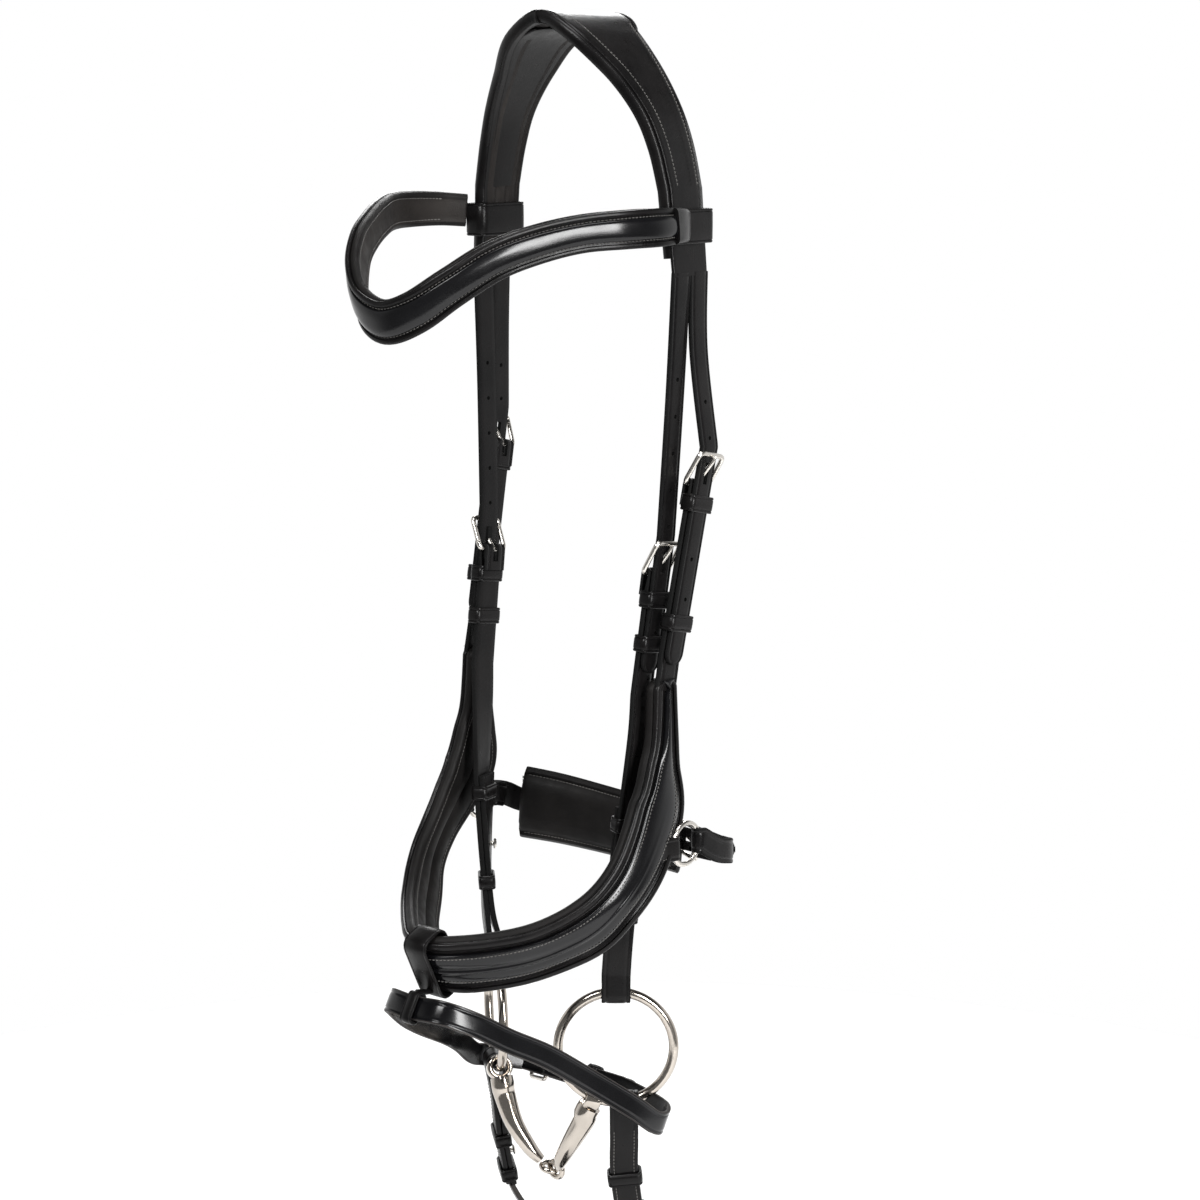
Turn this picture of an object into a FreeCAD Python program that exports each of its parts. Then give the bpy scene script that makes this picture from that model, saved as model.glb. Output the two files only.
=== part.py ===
"""Snaffle bridle, hanging by its headpiece. Millimetres, +Z up.

The origin is the middle of the crown's underside, where the bridle rests on a poll or a hook.
+X is the horse's near (left) side, -Y is forward. The off side mirrors the near side in X.
Heights in the tables below are measured from the crown's top: save() lifts each piece by CROWN.
"""
import FreeCAD, Part
import math
import os

V = FreeCAD.Vector

CROWN = 7.5             # thickness of the headpiece at the crown

# Leather and straps
STRAP = 16.0            # width of cheekpieces, billets and reins
PLY = 3.0               # thickness of a plain strap
BILLET = 14.0           # width of a punched strap end
BILLET_PLY = 2.4
LAY = 0.3               # gap between leathers that lie on each other
FLASH = 13.0
CHIN = 14.0
KEEPER_WALL = 1.5
KEEPER_SLACK = 0.45

# Buckles
WIRE = 1.4              # radius of a buckle's wire
FRAME_RISE = 17.0       # hinge bar to top bar
TONGUE = 1.1            # radius
TONGUE_LONG = 19.8
TONGUE_LEAN = 33.0      # degrees, rests on the top bar
BARREL = PLY            # radius of the leather fold round the hinge bar
CREW_SLOT = 4.4
TONGUE_KNUCKLE = 2.7    # radius of the tongue's end round the hinge bar
KNUCKLE_LONG = 3.4
BAR_WAY = 0.06          # free space round the hinge bar

# Bit
RING = 32.25            # radius to the middle of the wire
RING_WIRE = 2.75
RING_WAY = 0.45         # free space round the wire in leather
RING_TURN = 40.0        # degrees, how far each ring's plane is turned from facing forward
RING_AT = V(45.1, -21.3, -565.0)
EYE = RING_WIRE + RING_WAY + 3.2
CANNON_ANGLE = 23.0     # round the ring from its lowest point, forward
CANNON_WAY = 1.35
REIN_ANGLE = -8.0
REIN_WAY = 1.35
EYE_BARREL = 7.4        # radius of the cannon's eye that the ring runs through
EYE_LONG = 9.0
LINK = 4.6              # joint eye: radius to the middle of its wire
LINK_WIRE = 1.5
LINK_APART = 2.5        # each joint eye's centre from the middle
JOINT_AT = V(0.0, -23.3, -648.5)

# Noseband rings
SMALL_RING = 11.5
SMALL_WIRE = 1.5
SMALL_RING_AT = V(76.0, 1.0, -446.6)
SMALL_WAY = 0.4
SMALL_EYE = SMALL_WIRE + SMALL_WAY + 2.2
TAB_TALL = 13.0
TAB_LONG = 12.0
TAB_PLY = 2.4

# Reins, put away: each free rein goes down into a flat coil that stands in the Y-Z plane
COIL_X = 9.5
COIL_AT = V(COIL_X, -21.0, -815.0)
COIL_OUTER = 94.5
COIL_INNER = 74.5
REIN_START_R = 92.0       # to the strap's middle, where a rein joins its coil
REIN_START_ANGLE = 45.0   # degrees, from +Y towards +Z
REIN_LAST_R = 69.0        # the last few centimetres step in from the coil
REIN_LAST_ANGLE = -55.0


# ---------------------------------------------------------------- geometry helpers

def unit(vector):
    return vector / vector.Length


def square_to(vector, axis):
    """The part of vector at right angles to axis, at unit length."""
    return unit(vector - axis * vector.dot(axis))


def mirrored(point):
    return V(-point.x, point.y, point.z)


def sided(shape, side):
    """The near-side shape, or its mirror image for the off side."""
    return shape if side > 0 else shape.mirror(V(0, 0, 0), V(1, 0, 0))


def hung(x, y, z, width, turn=0.0):
    """A station of a hanging strap: its outer face's middle, its cross direction, its width."""
    angle = math.radians(turn)
    return (V(x, y, z), V(math.sin(angle), math.cos(angle), 0), width)


def between(front, rear):
    """A station of a band from its front (or upper) edge to its rear (or lower) edge."""
    front, rear = V(*front), V(*rear)
    return ((front + rear) * 0.5, unit(rear - front), (rear - front).Length)


def flipped(stations):
    """The mirrored stations in reverse order, for a band that crosses the middle."""
    return [(mirrored(p), mirrored(a) * (-1 if a.x * a.x > 0.999 else 1), w)
            for p, a, w in reversed(stations)]


def smooth(stations, steps=3):
    """Catmull-Rom stations through the given ones."""
    def spline(a, b, c, d, t):
        return (b * 2 + (c - a) * t + (a * 2 - b * 5 + c * 4 - d) * (t * t)
                + (b * 3 - a - c * 3 + d) * (t * t * t)) * 0.5

    result = []
    last = len(stations) - 1
    for i in range(last):
        four = [stations[min(max(k, 0), last)] for k in (i - 1, i, i + 1, i + 2)]
        for step in range(steps):
            t = step / steps
            point = spline(*[s[0] for s in four], t)
            across = spline(*[s[1] for s in four], t)
            width = spline(*[s[2] for s in four], t)
            result.append((point, unit(across), width))
    return result + [stations[last]]


def layer(stations, low, high, inset=0.0):
    """A leather layer: a solid from low to high outside the stations' face."""
    rims = []
    for i, (point, across, width) in enumerate(stations):
        before = stations[max(i - 1, 0)][0]
        after = stations[min(i + 1, len(stations) - 1)][0]
        along = unit(after - before)
        side = square_to(across, along) * (width / 2 - inset)
        out = unit(along.cross(side))
        corners = [point - side + out * low, point + side + out * low,
                   point + side + out * high, point - side + out * high]
        rims.append(Part.makePolygon(corners + corners[:1]))
    return Part.makeLoft(rims, True, True)


def seat(shape, origin, across, up):
    """Move a shape from strap axes (x across, y up the strap, z outward) to its place."""
    up = unit(up)
    across = square_to(across, up)
    out = across.cross(up)
    matrix = FreeCAD.Matrix(across.x, up.x, out.x, origin.x,
                            across.y, up.y, out.y, origin.y,
                            across.z, up.z, out.z, origin.z,
                            0, 0, 0, 1)
    moved = shape.copy()
    moved.Placement = FreeCAD.Placement(matrix).multiply(shape.Placement)
    return moved


def slab(x, y_low, y_high, z_low, z_high):
    """A box centred across the strap."""
    return Part.makeBox(2 * x, y_high - y_low, z_high - z_low, V(-x, y_low, z_low))


def fused(shapes):
    whole = shapes[0]
    for shape in shapes[1:]:
        whole = whole.fuse(shape)
    return whole


def without(shape, others):
    for other in others:
        shape = shape.cut(other)
    return shape


def save(name, *shapes):
    shape = shapes[0] if len(shapes) == 1 else Part.makeCompound(list(shapes))
    for solid in shape.Solids:
        if not solid.isValid():
            print("not valid:", name)
    shape = shape.translated(V(0, 0, CROWN))
    shape.exportStep("parts/" + name + ".step")


# ---------------------------------------------------------------- hardware

def rod(start, end, radius):
    return Part.makeCylinder(radius, (end - start).Length, start, end - start)


def bent_wire(points, radius):
    """A closed wire frame with round corners, from rods and balls."""
    pairs = zip(points, points[1:] + points[:1])
    balls = [Part.makeSphere(radius, p) for p in points]
    return fused([rod(a, b, radius) for a, b in pairs] + balls)


def buckle_frame(width):
    """Rectangular frame: the hinge bar lies in the fold, the top bar over the billet."""
    half = width / 2 + 0.9 + WIRE
    top = BILLET_PLY + 2 * LAY + WIRE + 0.1
    return bent_wire([V(-half, 0, -BARREL), V(half, 0, -BARREL),
                      V(half, FRAME_RISE, top), V(-half, FRAME_RISE, top)], WIRE)


def buckle_tongue():
    lean = math.radians(TONGUE_LEAN)
    pivot = V(0, 0, -BARREL)
    tip = pivot + V(0, math.cos(lean), math.sin(lean)) * TONGUE_LONG
    start = V(-KNUCKLE_LONG / 2, 0, -BARREL)
    knuckle = Part.makeCylinder(TONGUE_KNUCKLE, KNUCKLE_LONG, start, V(1, 0, 0))
    bore = Part.makeCylinder(WIRE + BAR_WAY, KNUCKLE_LONG, start, V(1, 0, 0))
    blade = fused([knuckle, rod(pivot, tip, TONGUE), Part.makeSphere(TONGUE, tip)])
    return blade.cut(bore)


def fold_round_bar(width):
    """The leather fold that holds the hinge bar, a little narrower than the strap."""
    wide = width - 0.4
    return Part.makeCylinder(BARREL + 0.1, wide, V(-wide / 2, 0, -BARREL), V(1, 0, 0))


def bar_and_crew_room(width):
    """What is cut from the fold: the bar's bore, and the slot that the tongue stands in."""
    long = width + 8
    bore = Part.makeCylinder(WIRE + BAR_WAY, long, V(-long / 2, 0, -BARREL), V(1, 0, 0))
    return bore.fuse(slab(CREW_SLOT / 2, -7.0, 5.0, -8.0, 0.5))


def tongue_slot():
    """The hole in the billet that the tongue passes, long enough to lift the tongue."""
    return slab(TONGUE + 0.5, 0.8, 12.4, -0.5, BILLET_PLY + 1.0)


def keeper(width, low, high, height=9.0):
    """A flat leather loop round what lies between low and high."""
    half = width / 2 + KEEPER_SLACK
    low, high = low - KEEPER_SLACK, high + KEEPER_SLACK
    outer = slab(half + KEEPER_WALL, -height / 2, height / 2, low - KEEPER_WALL, high + KEEPER_WALL)
    return outer.cut(slab(half, -height, height, low, high))


def punched(strap, origin, across, up, heights):
    """Round holes through a billet, at these heights above the buckle's hinge bar."""
    for height in heights:
        hole = Part.makeCylinder(1.5, 8.0, V(0, height, -2.0), V(0, 0, 1))
        strap = strap.cut(seat(hole, origin, across, up))
    return strap


# ---------------------------------------------------------------- bit geometry

def ring_axis(side):
    angle = math.radians(RING_TURN)
    return V(side * math.sin(angle), -math.cos(angle), 0)


def ring_across():
    """Level direction in the near ring's plane, from inside front to outside rear."""
    angle = math.radians(RING_TURN)
    return V(math.cos(angle), math.sin(angle), 0)


def on_ring(angle):
    """A point on the near ring's wire, this far forward round from its lowest point."""
    a = math.radians(angle)
    return RING_AT - ring_across() * (RING * math.sin(a)) - V(0, 0, RING * math.cos(a))


def along_ring(angle):
    a = math.radians(angle)
    return unit(ring_across() * math.cos(a) - V(0, 0, math.sin(a)))


def ring_way(extra=RING_WAY):
    return Part.makeTorus(RING, RING_WIRE + extra, RING_AT, ring_axis(1))


# ---------------------------------------------------------------- strap routes, near side

# Headpiece, from the crown down to where it splits into two billets
HEADPIECE = [
    hung(0, 0, -2.9, 66),
    hung(20.5, -3, -12, 56),
    hung(38.5, 1, -30.5, 43.5),
    hung(52.5, 4, -51, 35.5),
    hung(60.5, 6, -71, 32.5),
    hung(65.8, 7, -93, 31),
]
HEADPIECE_END = hung(69.5, 8, -138, 29)
HEADPIECE_PLY = 2.4
SPLIT_Y = (0.9, 15.5)       # middles of the front and the rear billet at the split

# Buckles: hinge bar's place on the strap's outer face, and the way the strap runs from it
NOSE_BUCKLE = V(74.2, 14.0, -250)
NOSE_DOWN = unit(V(-0.035, -0.215, -0.976))
NOSE_LIFT = NOSE_DOWN * -10     # the noseband's off side is buckled this much higher
CHEEK_BUCKLE = V(62.0, -6.0, -297)
CHEEK_DOWN = unit(V(-0.035, -0.15, -0.98))
Y_AXIS = V(0, 1, 0)

# Where keepers and runners sit, measured down from the hinge bar
NOSE_KEEPER = 10.0
NOSE_RUNNER = 75.0
NOSE_BILLET = 98.0
CHEEK_KEEPER = 14.0
CHEEK_RUNNER = 38.0
CHEEK_BILLET = 54.0

NOSE_BAND = [
    between((68.5, -18.5, -353), (69.5, -2, -354)),
    between((69.2, -21, -385), (70, -0.5, -386)),
    between((69.8, -26.5, -401), (69.5, 1.5, -404)),
    between((69.8, -34, -418), (71.5, 3, -427)),
    between((70.2, -43, -433.5), (75.5, -10.5, -447)),
    between((69.5, -53, -448.5), (77.5, -25, -463)),
    between((66, -65, -461.5), (74.5, -38, -477)),
    between((58.5, -77.5, -471.8), (67, -49, -491)),
    between((48.5, -90, -478.8), (56, -64, -500.5)),
    between((37, -103, -482.8), (41, -79, -509)),
    between((24, -116, -484), (24, -98, -514)),
    between((12, -125.5, -484.5), (12, -110, -515)),
]
NOSE_FRONT = between((0, -129, -485), (0, -115, -515))

BROW_BAND = [
    between((76.5, -7, -102), (76.5, -7, -120)),
    between((84, -20, -101), (85, -20, -119.5)),
    between((88, -40, -100.5), (89.5, -40, -120)),
    between((84, -60, -101), (82.5, -60, -120.5)),
    between((72, -80, -103), (70, -80, -122)),
    between((60, -100, -107.5), (58.5, -100, -127)),
    between((48.5, -120, -115), (46, -119, -135)),
    between((35, -138, -128), (32, -134, -148)),
    between((19, -149, -140), (17, -144, -161)),
]
BROW_FRONT = between((0, -152, -145), (0, -147, -167))
BROW_TILT = 0.05            # the off side hangs this much higher per millimetre from the middle

BROW_LOOP_AT = V(67.4, 7.5, -112)
BROW_LOOP_TALL = 18.0
BROW_LOOP_HALF = 16.5       # half the room inside a loop, across the headpiece
BROW_LOOP_ROOM = (-5.8, 5.0)
BROW_LOOP_WALL = 1.8

CHEEK_LOWER = [
    hung(59, -17, -385, STRAP, 4),
    hung(57, -21, -425, STRAP, 18),
    hung(54, -24.3, -465, STRAP, 36),
    hung(50.5, -25.8, -503, STRAP, 50),
]

# Chin strap, from the near ring round behind the jaw to the off ring
DOWNWARD = V(0, 0, -1)
CHIN_BUCKLE = V(48, 50, -462.5)
CHIN_NEAR = [
    (V(62, 50, -462), DOWNWARD, CHIN),
    (V(73, 47, -461), DOWNWARD, CHIN),
    (V(79.5, 38, -458.5), DOWNWARD, CHIN),
    (V(80.5, 26, -455), DOWNWARD, CHIN),
]
CHIN_TAIL = 71.0            # X of the tail's tip
PAD = [
    (V(36, 50, -463), DOWNWARD, 40.0),
    (V(10, 50.5, -462), DOWNWARD, 40.5),
    (V(-20, 48, -460), DOWNWARD, 41.5),
    (V(-48, 41, -457), DOWNWARD, 43.0),
    (V(-71, 31.5, -454.5), DOWNWARD, 44.0),
]
CHIN_OFF = [
    (V(-79, 25, -450), DOWNWARD, CHIN),
]

# Flash strap: from its buckle behind the jaw round the near side and the front to the off side
FLASH_CROSS = unit(V(0, -0.53, -0.848))
FLASH_OUT = unit(V(0, 0.848, -0.53))
FLASH_BUCKLE = V(-30, 11.5, -605)
FLASH_TILT = 0.05           # the near side hangs this much lower per millimetre from the middle
FLASH_HALF = [
    (48, 7.5, -604.5),
    (61, 3, -605),
    (68.5, -6, -605),
    (69.5, -16, -601),
    (66, -31, -588.5),
    (55.5, -53, -571),
    (47, -80, -551),
    (39, -102, -538),
    (31, -121, -527),
    (19, -134.5, -521.5),
]
FLASH_FRONT = V(0, -137, -520)
FLASH_PLY = 2.4
FLASH_LOOP_WIDE = 8.5       # half the flash loop's width along X
FLASH_LOOP_SLACK = 3.1      # room above and below the noseband's edges
FLASH_LOOP_ROOM = (-11.0, 6.2)
FLASH_LOOP_WALL = 1.8
FLASH_ROOM_HALF = 7.9       # the lower opening, round the flash strap
FLASH_ROOM_DEEP = 2.9
FLASH_ROOM_WALL = 1.5
FLASH_NECK = 2.6            # radius


# ---------------------------------------------------------------- headpiece

def headpiece_band():
    """From the off side's split, over the crown, to the near side's split."""
    curved = smooth(flipped(HEADPIECE)[:-1] + HEADPIECE)
    return flipped([HEADPIECE_END]) + curved + [HEADPIECE_END]


def billet_route(split_y, buckle, down, length):
    """From the split to the buckle, then straight down over the strap."""
    lift = BILLET_PLY / 2 + LAY
    out = unit(down.cross(square_to(Y_AXIS, down)))
    start = V(HEADPIECE_END[0].x + HEADPIECE_PLY / 2, split_y, HEADPIECE_END[0].z - 0.1)
    above = buckle + out * lift - down * 21
    middle = start * 0.55 + above * 0.45 + V(0, 1.0, 0)
    gentle = [(p, Y_AXIS, BILLET) for p in (start, middle, above)]
    return smooth(gentle, 5) + [(buckle + out * lift + down * length, Y_AXIS, BILLET)]


def billet(split_y, buckle, down, length, holes):
    route = billet_route(split_y, buckle, down, length)
    strap = layer(route, -BILLET_PLY / 2, BILLET_PLY / 2)
    point = seat(pointed_end(BILLET), route[-1][0], Y_AXIS, -down)
    strap = strap.cut(point)
    seat_at = buckle + unit(down.cross(square_to(Y_AXIS, down))) * LAY
    strap = strap.cut(seat(tongue_slot(), seat_at, Y_AXIS, -down))
    return punched(strap, seat_at, Y_AXIS, -down, holes)


def nose_buckle(side):
    return NOSE_BUCKLE if side > 0 else NOSE_BUCKLE + NOSE_LIFT


def pointed_end(width):
    """What is cut off to leave a rounded tip at the strap's end."""
    block = slab(width, -1.0, width / 2, -9, 9)
    tip = Part.makeCylinder(width / 2, 20, V(0, width / 2, -10), V(0, 0, 1))
    return block.cut(tip)


def make_headpiece():
    band = headpiece_band()
    leather = layer(band, 0.1, HEADPIECE_PLY)
    billets = []
    for side in (1, -1):
        front = billet(SPLIT_Y[0], CHEEK_BUCKLE, CHEEK_DOWN, CHEEK_BILLET, (26, 46, 66, 86, 106))
        rear = billet(SPLIT_Y[1], nose_buckle(side), NOSE_DOWN, NOSE_BILLET, (-40, 26))
        billets += [sided(front, side), sided(rear, side)]
    save("headpiece_leather", leather)
    save("headpiece_billets", *billets)

    hem = hung(68.5, 8, -126, 29)
    padded = flipped([hem]) + band[1:-1] + [hem]
    save("headpiece_padding", layer(padded, HEADPIECE_PLY + 0.5 - CROWN, 0.0))

    middle = len(band) // 2
    overlay = layer(band[middle + 2:-1], HEADPIECE_PLY + 0.3, HEADPIECE_PLY + 1.8, 5.0)
    save("headpiece_overlays", overlay, sided(overlay, -1))


# ---------------------------------------------------------------- browband

def make_browband():
    off_side = [(p - V(0, 0, p.x * BROW_TILT), a, w) for p, a, w in flipped(BROW_BAND)]
    band = smooth(BROW_BAND + [BROW_FRONT] + off_side, 2)
    save("browband_leather", layer(band, 0.05, 2.6))
    save("browband_overlay", layer(band[2:-2], 2.7, 4.4, 4.5))

    tall = BROW_LOOP_TALL / 2
    wall = BROW_LOOP_WALL
    low, high = BROW_LOOP_ROOM
    inner = slab(BROW_LOOP_HALF, -tall - 1, tall + 1, low, high)
    outer = slab(BROW_LOOP_HALF + wall, -tall, tall, low - wall, high + wall)
    near = seat(outer.cut(inner), BROW_LOOP_AT, Y_AXIS, V(0, 0, 1))
    loops = [near, sided(near, -1)]
    save("browband_loops", *loops)
    save("browband_padding", without(layer(band, -4.6, -0.05), loops))


# ---------------------------------------------------------------- noseband

def buckle_strap(route, buckle, down, across, width, low=-PLY):
    """A strap whose upper end is folded round a buckle's hinge bar."""
    point, cross, wide = route[0]
    strap = layer([(point + down * 0.6, cross, wide)] + route[1:], low, 0.0)
    fold = seat(fold_round_bar(width), buckle, across, -down)
    room = seat(bar_and_crew_room(width), buckle, across, -down)
    return fused([strap, fold]).cut(room)


def make_noseband():
    straps = make_noseband_straps()
    tabs = make_noseband_rings()
    rooms = [straps, tabs, sided(tabs, -1), small_ring_way(), sided(small_ring_way(), -1)]
    band = smooth(NOSE_BAND + [NOSE_FRONT] + flipped(NOSE_BAND), 2)
    save("noseband_leather", without(layer(band, 0.05, 2.8), rooms[1:]))
    save("noseband_padding", without(layer(band, -6.0, -0.05), rooms))
    save("noseband_panel", without(layer(band[3:-3], 2.9, 5.0, 7.5), rooms[1:]))


def make_noseband_straps():
    join = NOSE_BAND[0][0] + V(2.4, 0, 0.4)
    straps = []
    for side in (1, -1):
        top = nose_buckle(side)
        route = [(p, Y_AXIS, STRAP) for p in (top, top + NOSE_DOWN * (NOSE_BILLET + 1), join)]
        straps.append(sided(buckle_strap(route, top, NOSE_DOWN, Y_AXIS, STRAP), side))
    save("noseband_cheek_straps", *straps)
    return Part.makeCompound(straps)


def make_cheekpieces():
    end = CHEEK_BUCKLE + CHEEK_DOWN * 66
    top = [(CHEEK_BUCKLE, Y_AXIS, STRAP), (end, Y_AXIS, STRAP)]
    wire_top = on_ring(180)
    face = ring_axis(1)
    at_ring = (wire_top + face * EYE, ring_across(), STRAP)
    lower = smooth([top[1]] + CHEEK_LOWER, 4)
    outer_ply = top[:1] + lower + [at_ring]

    behind = smooth(CHEEK_LOWER[1:], 3)
    back = PLY + LAY
    return_ply = [(p - unit(V(a.y, -a.x, 0)) * back, a, w) for p, a, w in behind]
    return_ply += [(wire_top - face * (EYE - PLY), ring_across(), STRAP)]

    eye = Part.makeCylinder(EYE, STRAP, wire_top - ring_across() * (STRAP / 2), ring_across())
    strap = buckle_strap(outer_ply, CHEEK_BUCKLE, CHEEK_DOWN, Y_AXIS, STRAP)
    near = fused([strap, layer(return_ply, -PLY, 0.0), eye])
    near = near.cut(ring_way())
    save("cheekpieces", near, sided(near, -1))


def make_buckles():
    """The four cheek buckles, with a fixed keeper and a runner below each."""
    frame = buckle_frame(STRAP)
    tongue = buckle_tongue()
    loop = keeper(STRAP, -PLY, BILLET_PLY + LAY)
    for name, down, fixed, runner in (("noseband", NOSE_DOWN, NOSE_KEEPER, NOSE_RUNNER),
                                      ("cheekpiece", CHEEK_DOWN, CHEEK_KEEPER, CHEEK_RUNNER)):
        frames = []
        keepers = []
        for side, word in ((1, "near"), (-1, "off")):
            place = nose_buckle(side) if name == "noseband" else CHEEK_BUCKLE
            frames.append(sided(seat(frame, place, Y_AXIS, -down), side))
            keepers.append(sided(seat(loop, place + down * fixed, Y_AXIS, -down), side))
            save(name + "_tongue_" + word, sided(seat(tongue, place, Y_AXIS, -down), side))
            sliding = seat(loop, place + down * runner, Y_AXIS, -down)
            save(name + "_runner_" + word, sided(sliding, side))
        save(name + "_buckle_frames", *frames)
        save(name + "_keepers", *keepers)


def make_lower_keepers():
    """Two keepers and a hook stud hold each cheekpiece's folded end."""
    loops = []
    studs = []
    pair = keeper(STRAP, -2 * PLY - LAY, 0.0, 8.0)
    stations = smooth(CHEEK_LOWER, 4)
    for index in (6, 11):
        point, across, _ = stations[index]
        up = stations[index - 1][0] - stations[index + 1][0]
        loops.append(seat(pair, point, across, up))
    point, across, _ = stations[9]
    inward = unit(V(-across.y, across.x, 0))
    studs.append(stud_on(point + inward * (2 * PLY + LAY + 0.2), inward))
    save("cheekpiece_lower_keepers", *(loops + [sided(s, -1) for s in loops]))
    save("cheekpiece_hook_studs", *(studs + [sided(s, -1) for s in studs]))


# ---------------------------------------------------------------- noseband rings and chin strap

def small_ring_way():
    return Part.makeTorus(SMALL_RING, SMALL_WIRE + SMALL_WAY, SMALL_RING_AT, V(1, 0, 0))


def make_noseband_rings():
    ring = Part.makeTorus(SMALL_RING, SMALL_WIRE, SMALL_RING_AT, V(1, 0, 0))
    front = SMALL_RING_AT - V(0, SMALL_RING, 0)
    foot = V(0, 0, -TAB_TALL / 2)
    eye = Part.makeCylinder(SMALL_EYE, TAB_TALL, front + foot, V(0, 0, 1))
    inner = front + foot + V(-3.1, -TAB_LONG, 0)
    tab = Part.makeBox(TAB_PLY, TAB_LONG, TAB_TALL, inner)
    near = fused([eye, tab]).cut(small_ring_way())
    save("noseband_ring_tabs", near, sided(near, -1))
    for side, word in ((1, "near"), (-1, "off")):
        save("noseband_ring_" + word, sided(ring, side))
    return near


def make_chin_strap():
    rear = SMALL_RING_AT + V(0, SMALL_RING, 0)
    eye = Part.makeCylinder(SMALL_EYE, CHIN, rear - V(0, 0, CHIN / 2), V(0, 0, 1))
    down = V(1, 0, 0)
    cross = V(0, 0, -1)
    ply = 2.6
    to_eye = (rear + V(ply / 2, 0, 0), cross, CHIN)
    route = [(CHIN_BUCKLE, cross, CHIN)] + smooth(CHIN_NEAR + [to_eye], 3)
    near = buckle_strap(route, CHIN_BUCKLE, down, cross, CHIN, -ply)
    near = fused([near, eye]).cut(small_ring_way())
    save("chin_strap_near", near)

    lift = V(0, LAY, 0)
    straight = [(V(x, CHIN_BUCKLE.y, CHIN_BUCKLE.z) + lift, cross, CHIN - 0.8)
                for x in (CHIN_TAIL, 40)]
    off_eye = (mirrored(rear) - V(ply / 2, 0, 0), cross, CHIN)
    along_pad = [(p + lift / 3, a, CHIN) for p, a, _ in PAD[1:]]
    route = straight + smooth(along_pad + CHIN_OFF + [off_eye], 3)
    # this strap runs towards the off side, so its cross direction is turned over
    strap = layer([(p, a * -1, w) for p, a, w in route], 0.0, ply)
    tail = V(CHIN_TAIL, CHIN_BUCKLE.y, CHIN_BUCKLE.z)
    tip = seat(pointed_end(CHIN), tail, cross, V(-1, 0, 0))
    slot = seat(tongue_slot(), CHIN_BUCKLE + lift, cross, V(-1, 0, 0))
    off_ring_eye = sided(eye, -1)
    strap = fused([strap.cut(tip).cut(slot), off_ring_eye]).cut(sided(small_ring_way(), -1))
    save("chin_strap_off", strap)

    pad = layer([(p, a * -1, w) for p, a, w in smooth(PAD, 2)], -8.0, -0.1)
    save("chin_pad", pad)
    save("chin_buckle_frame", seat(buckle_frame(CHIN), CHIN_BUCKLE, cross, V(-1, 0, 0)))
    save("chin_tongue", seat(buckle_tongue(), CHIN_BUCKLE, cross, V(-1, 0, 0)))


# ---------------------------------------------------------------- flash

def make_flash():
    down = V(1, 0, 0)
    near = [V(x, y, z - FLASH_TILT * x) for x, y, z in FLASH_HALF]
    off = [V(-x, y, z + FLASH_TILT * x) for x, y, z in reversed(FLASH_HALF[2:])]
    lift = FLASH_OUT * (FLASH_PLY + LAY)
    ending = [FLASH_BUCKLE + lift + down * x for x in (-24, 62)]
    points = [FLASH_BUCKLE + down * 56] + near + [FLASH_FRONT] + off + ending[:1]
    loop = smooth([(p, FLASH_CROSS, FLASH) for p in points], 2) + [(ending[1], FLASH_CROSS, FLASH)]
    route = [(FLASH_BUCKLE, FLASH_CROSS, FLASH)] + loop
    strap = buckle_strap(route, FLASH_BUCKLE, down, FLASH_CROSS, FLASH, -FLASH_PLY)
    slot = seat(tongue_slot(), FLASH_BUCKLE + FLASH_OUT * LAY, FLASH_CROSS, down * -1)
    save("flash_strap", strap.cut(slot))
    save("flash_buckle_frame", seat(buckle_frame(FLASH), FLASH_BUCKLE, FLASH_CROSS, down * -1))
    save("flash_tongue", seat(buckle_tongue(), FLASH_BUCKLE, FLASH_CROSS, down * -1))
    loop = keeper(FLASH, -FLASH_PLY, FLASH_PLY + LAY, 7.0)
    save("flash_keeper", seat(loop, FLASH_BUCKLE + down * 30, FLASH_CROSS, down * -1))

    # the flash loop: one opening round the noseband, one below it for the flash strap
    front, cross, width = NOSE_FRONT
    wide = FLASH_LOOP_WIDE
    wall = FLASH_LOOP_WALL
    tall = width / 2 + FLASH_LOOP_SLACK
    low, high = FLASH_LOOP_ROOM
    band_room = seat(slab(wide + 1, -tall, tall, low, high), front, V(1, 0, 0), cross * -1)
    band_loop = slab(wide, -tall - wall, tall + wall, low - wall, high + wall)
    band_loop = seat(band_loop, front, V(1, 0, 0), cross * -1)
    middle = FLASH_FRONT + FLASH_OUT * (FLASH_PLY / 2)
    upward = FLASH_CROSS * -1
    half, deep, skin = FLASH_ROOM_HALF, FLASH_ROOM_DEEP, FLASH_ROOM_WALL
    strap_room = seat(slab(wide, -half, half, -deep, deep), middle, V(1, 0, 0), upward)
    strap_loop = slab(wide * 0.7, -half - skin, half + skin, -deep - skin, deep + skin)
    strap_loop = seat(strap_loop, middle, V(1, 0, 0), upward)
    neck = rod(front + cross * (tall + wall / 2), middle, FLASH_NECK)
    save("flash_loop", without(fused([band_loop, neck, strap_loop]), [strap_room, band_room]))


# ---------------------------------------------------------------- bit

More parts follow.
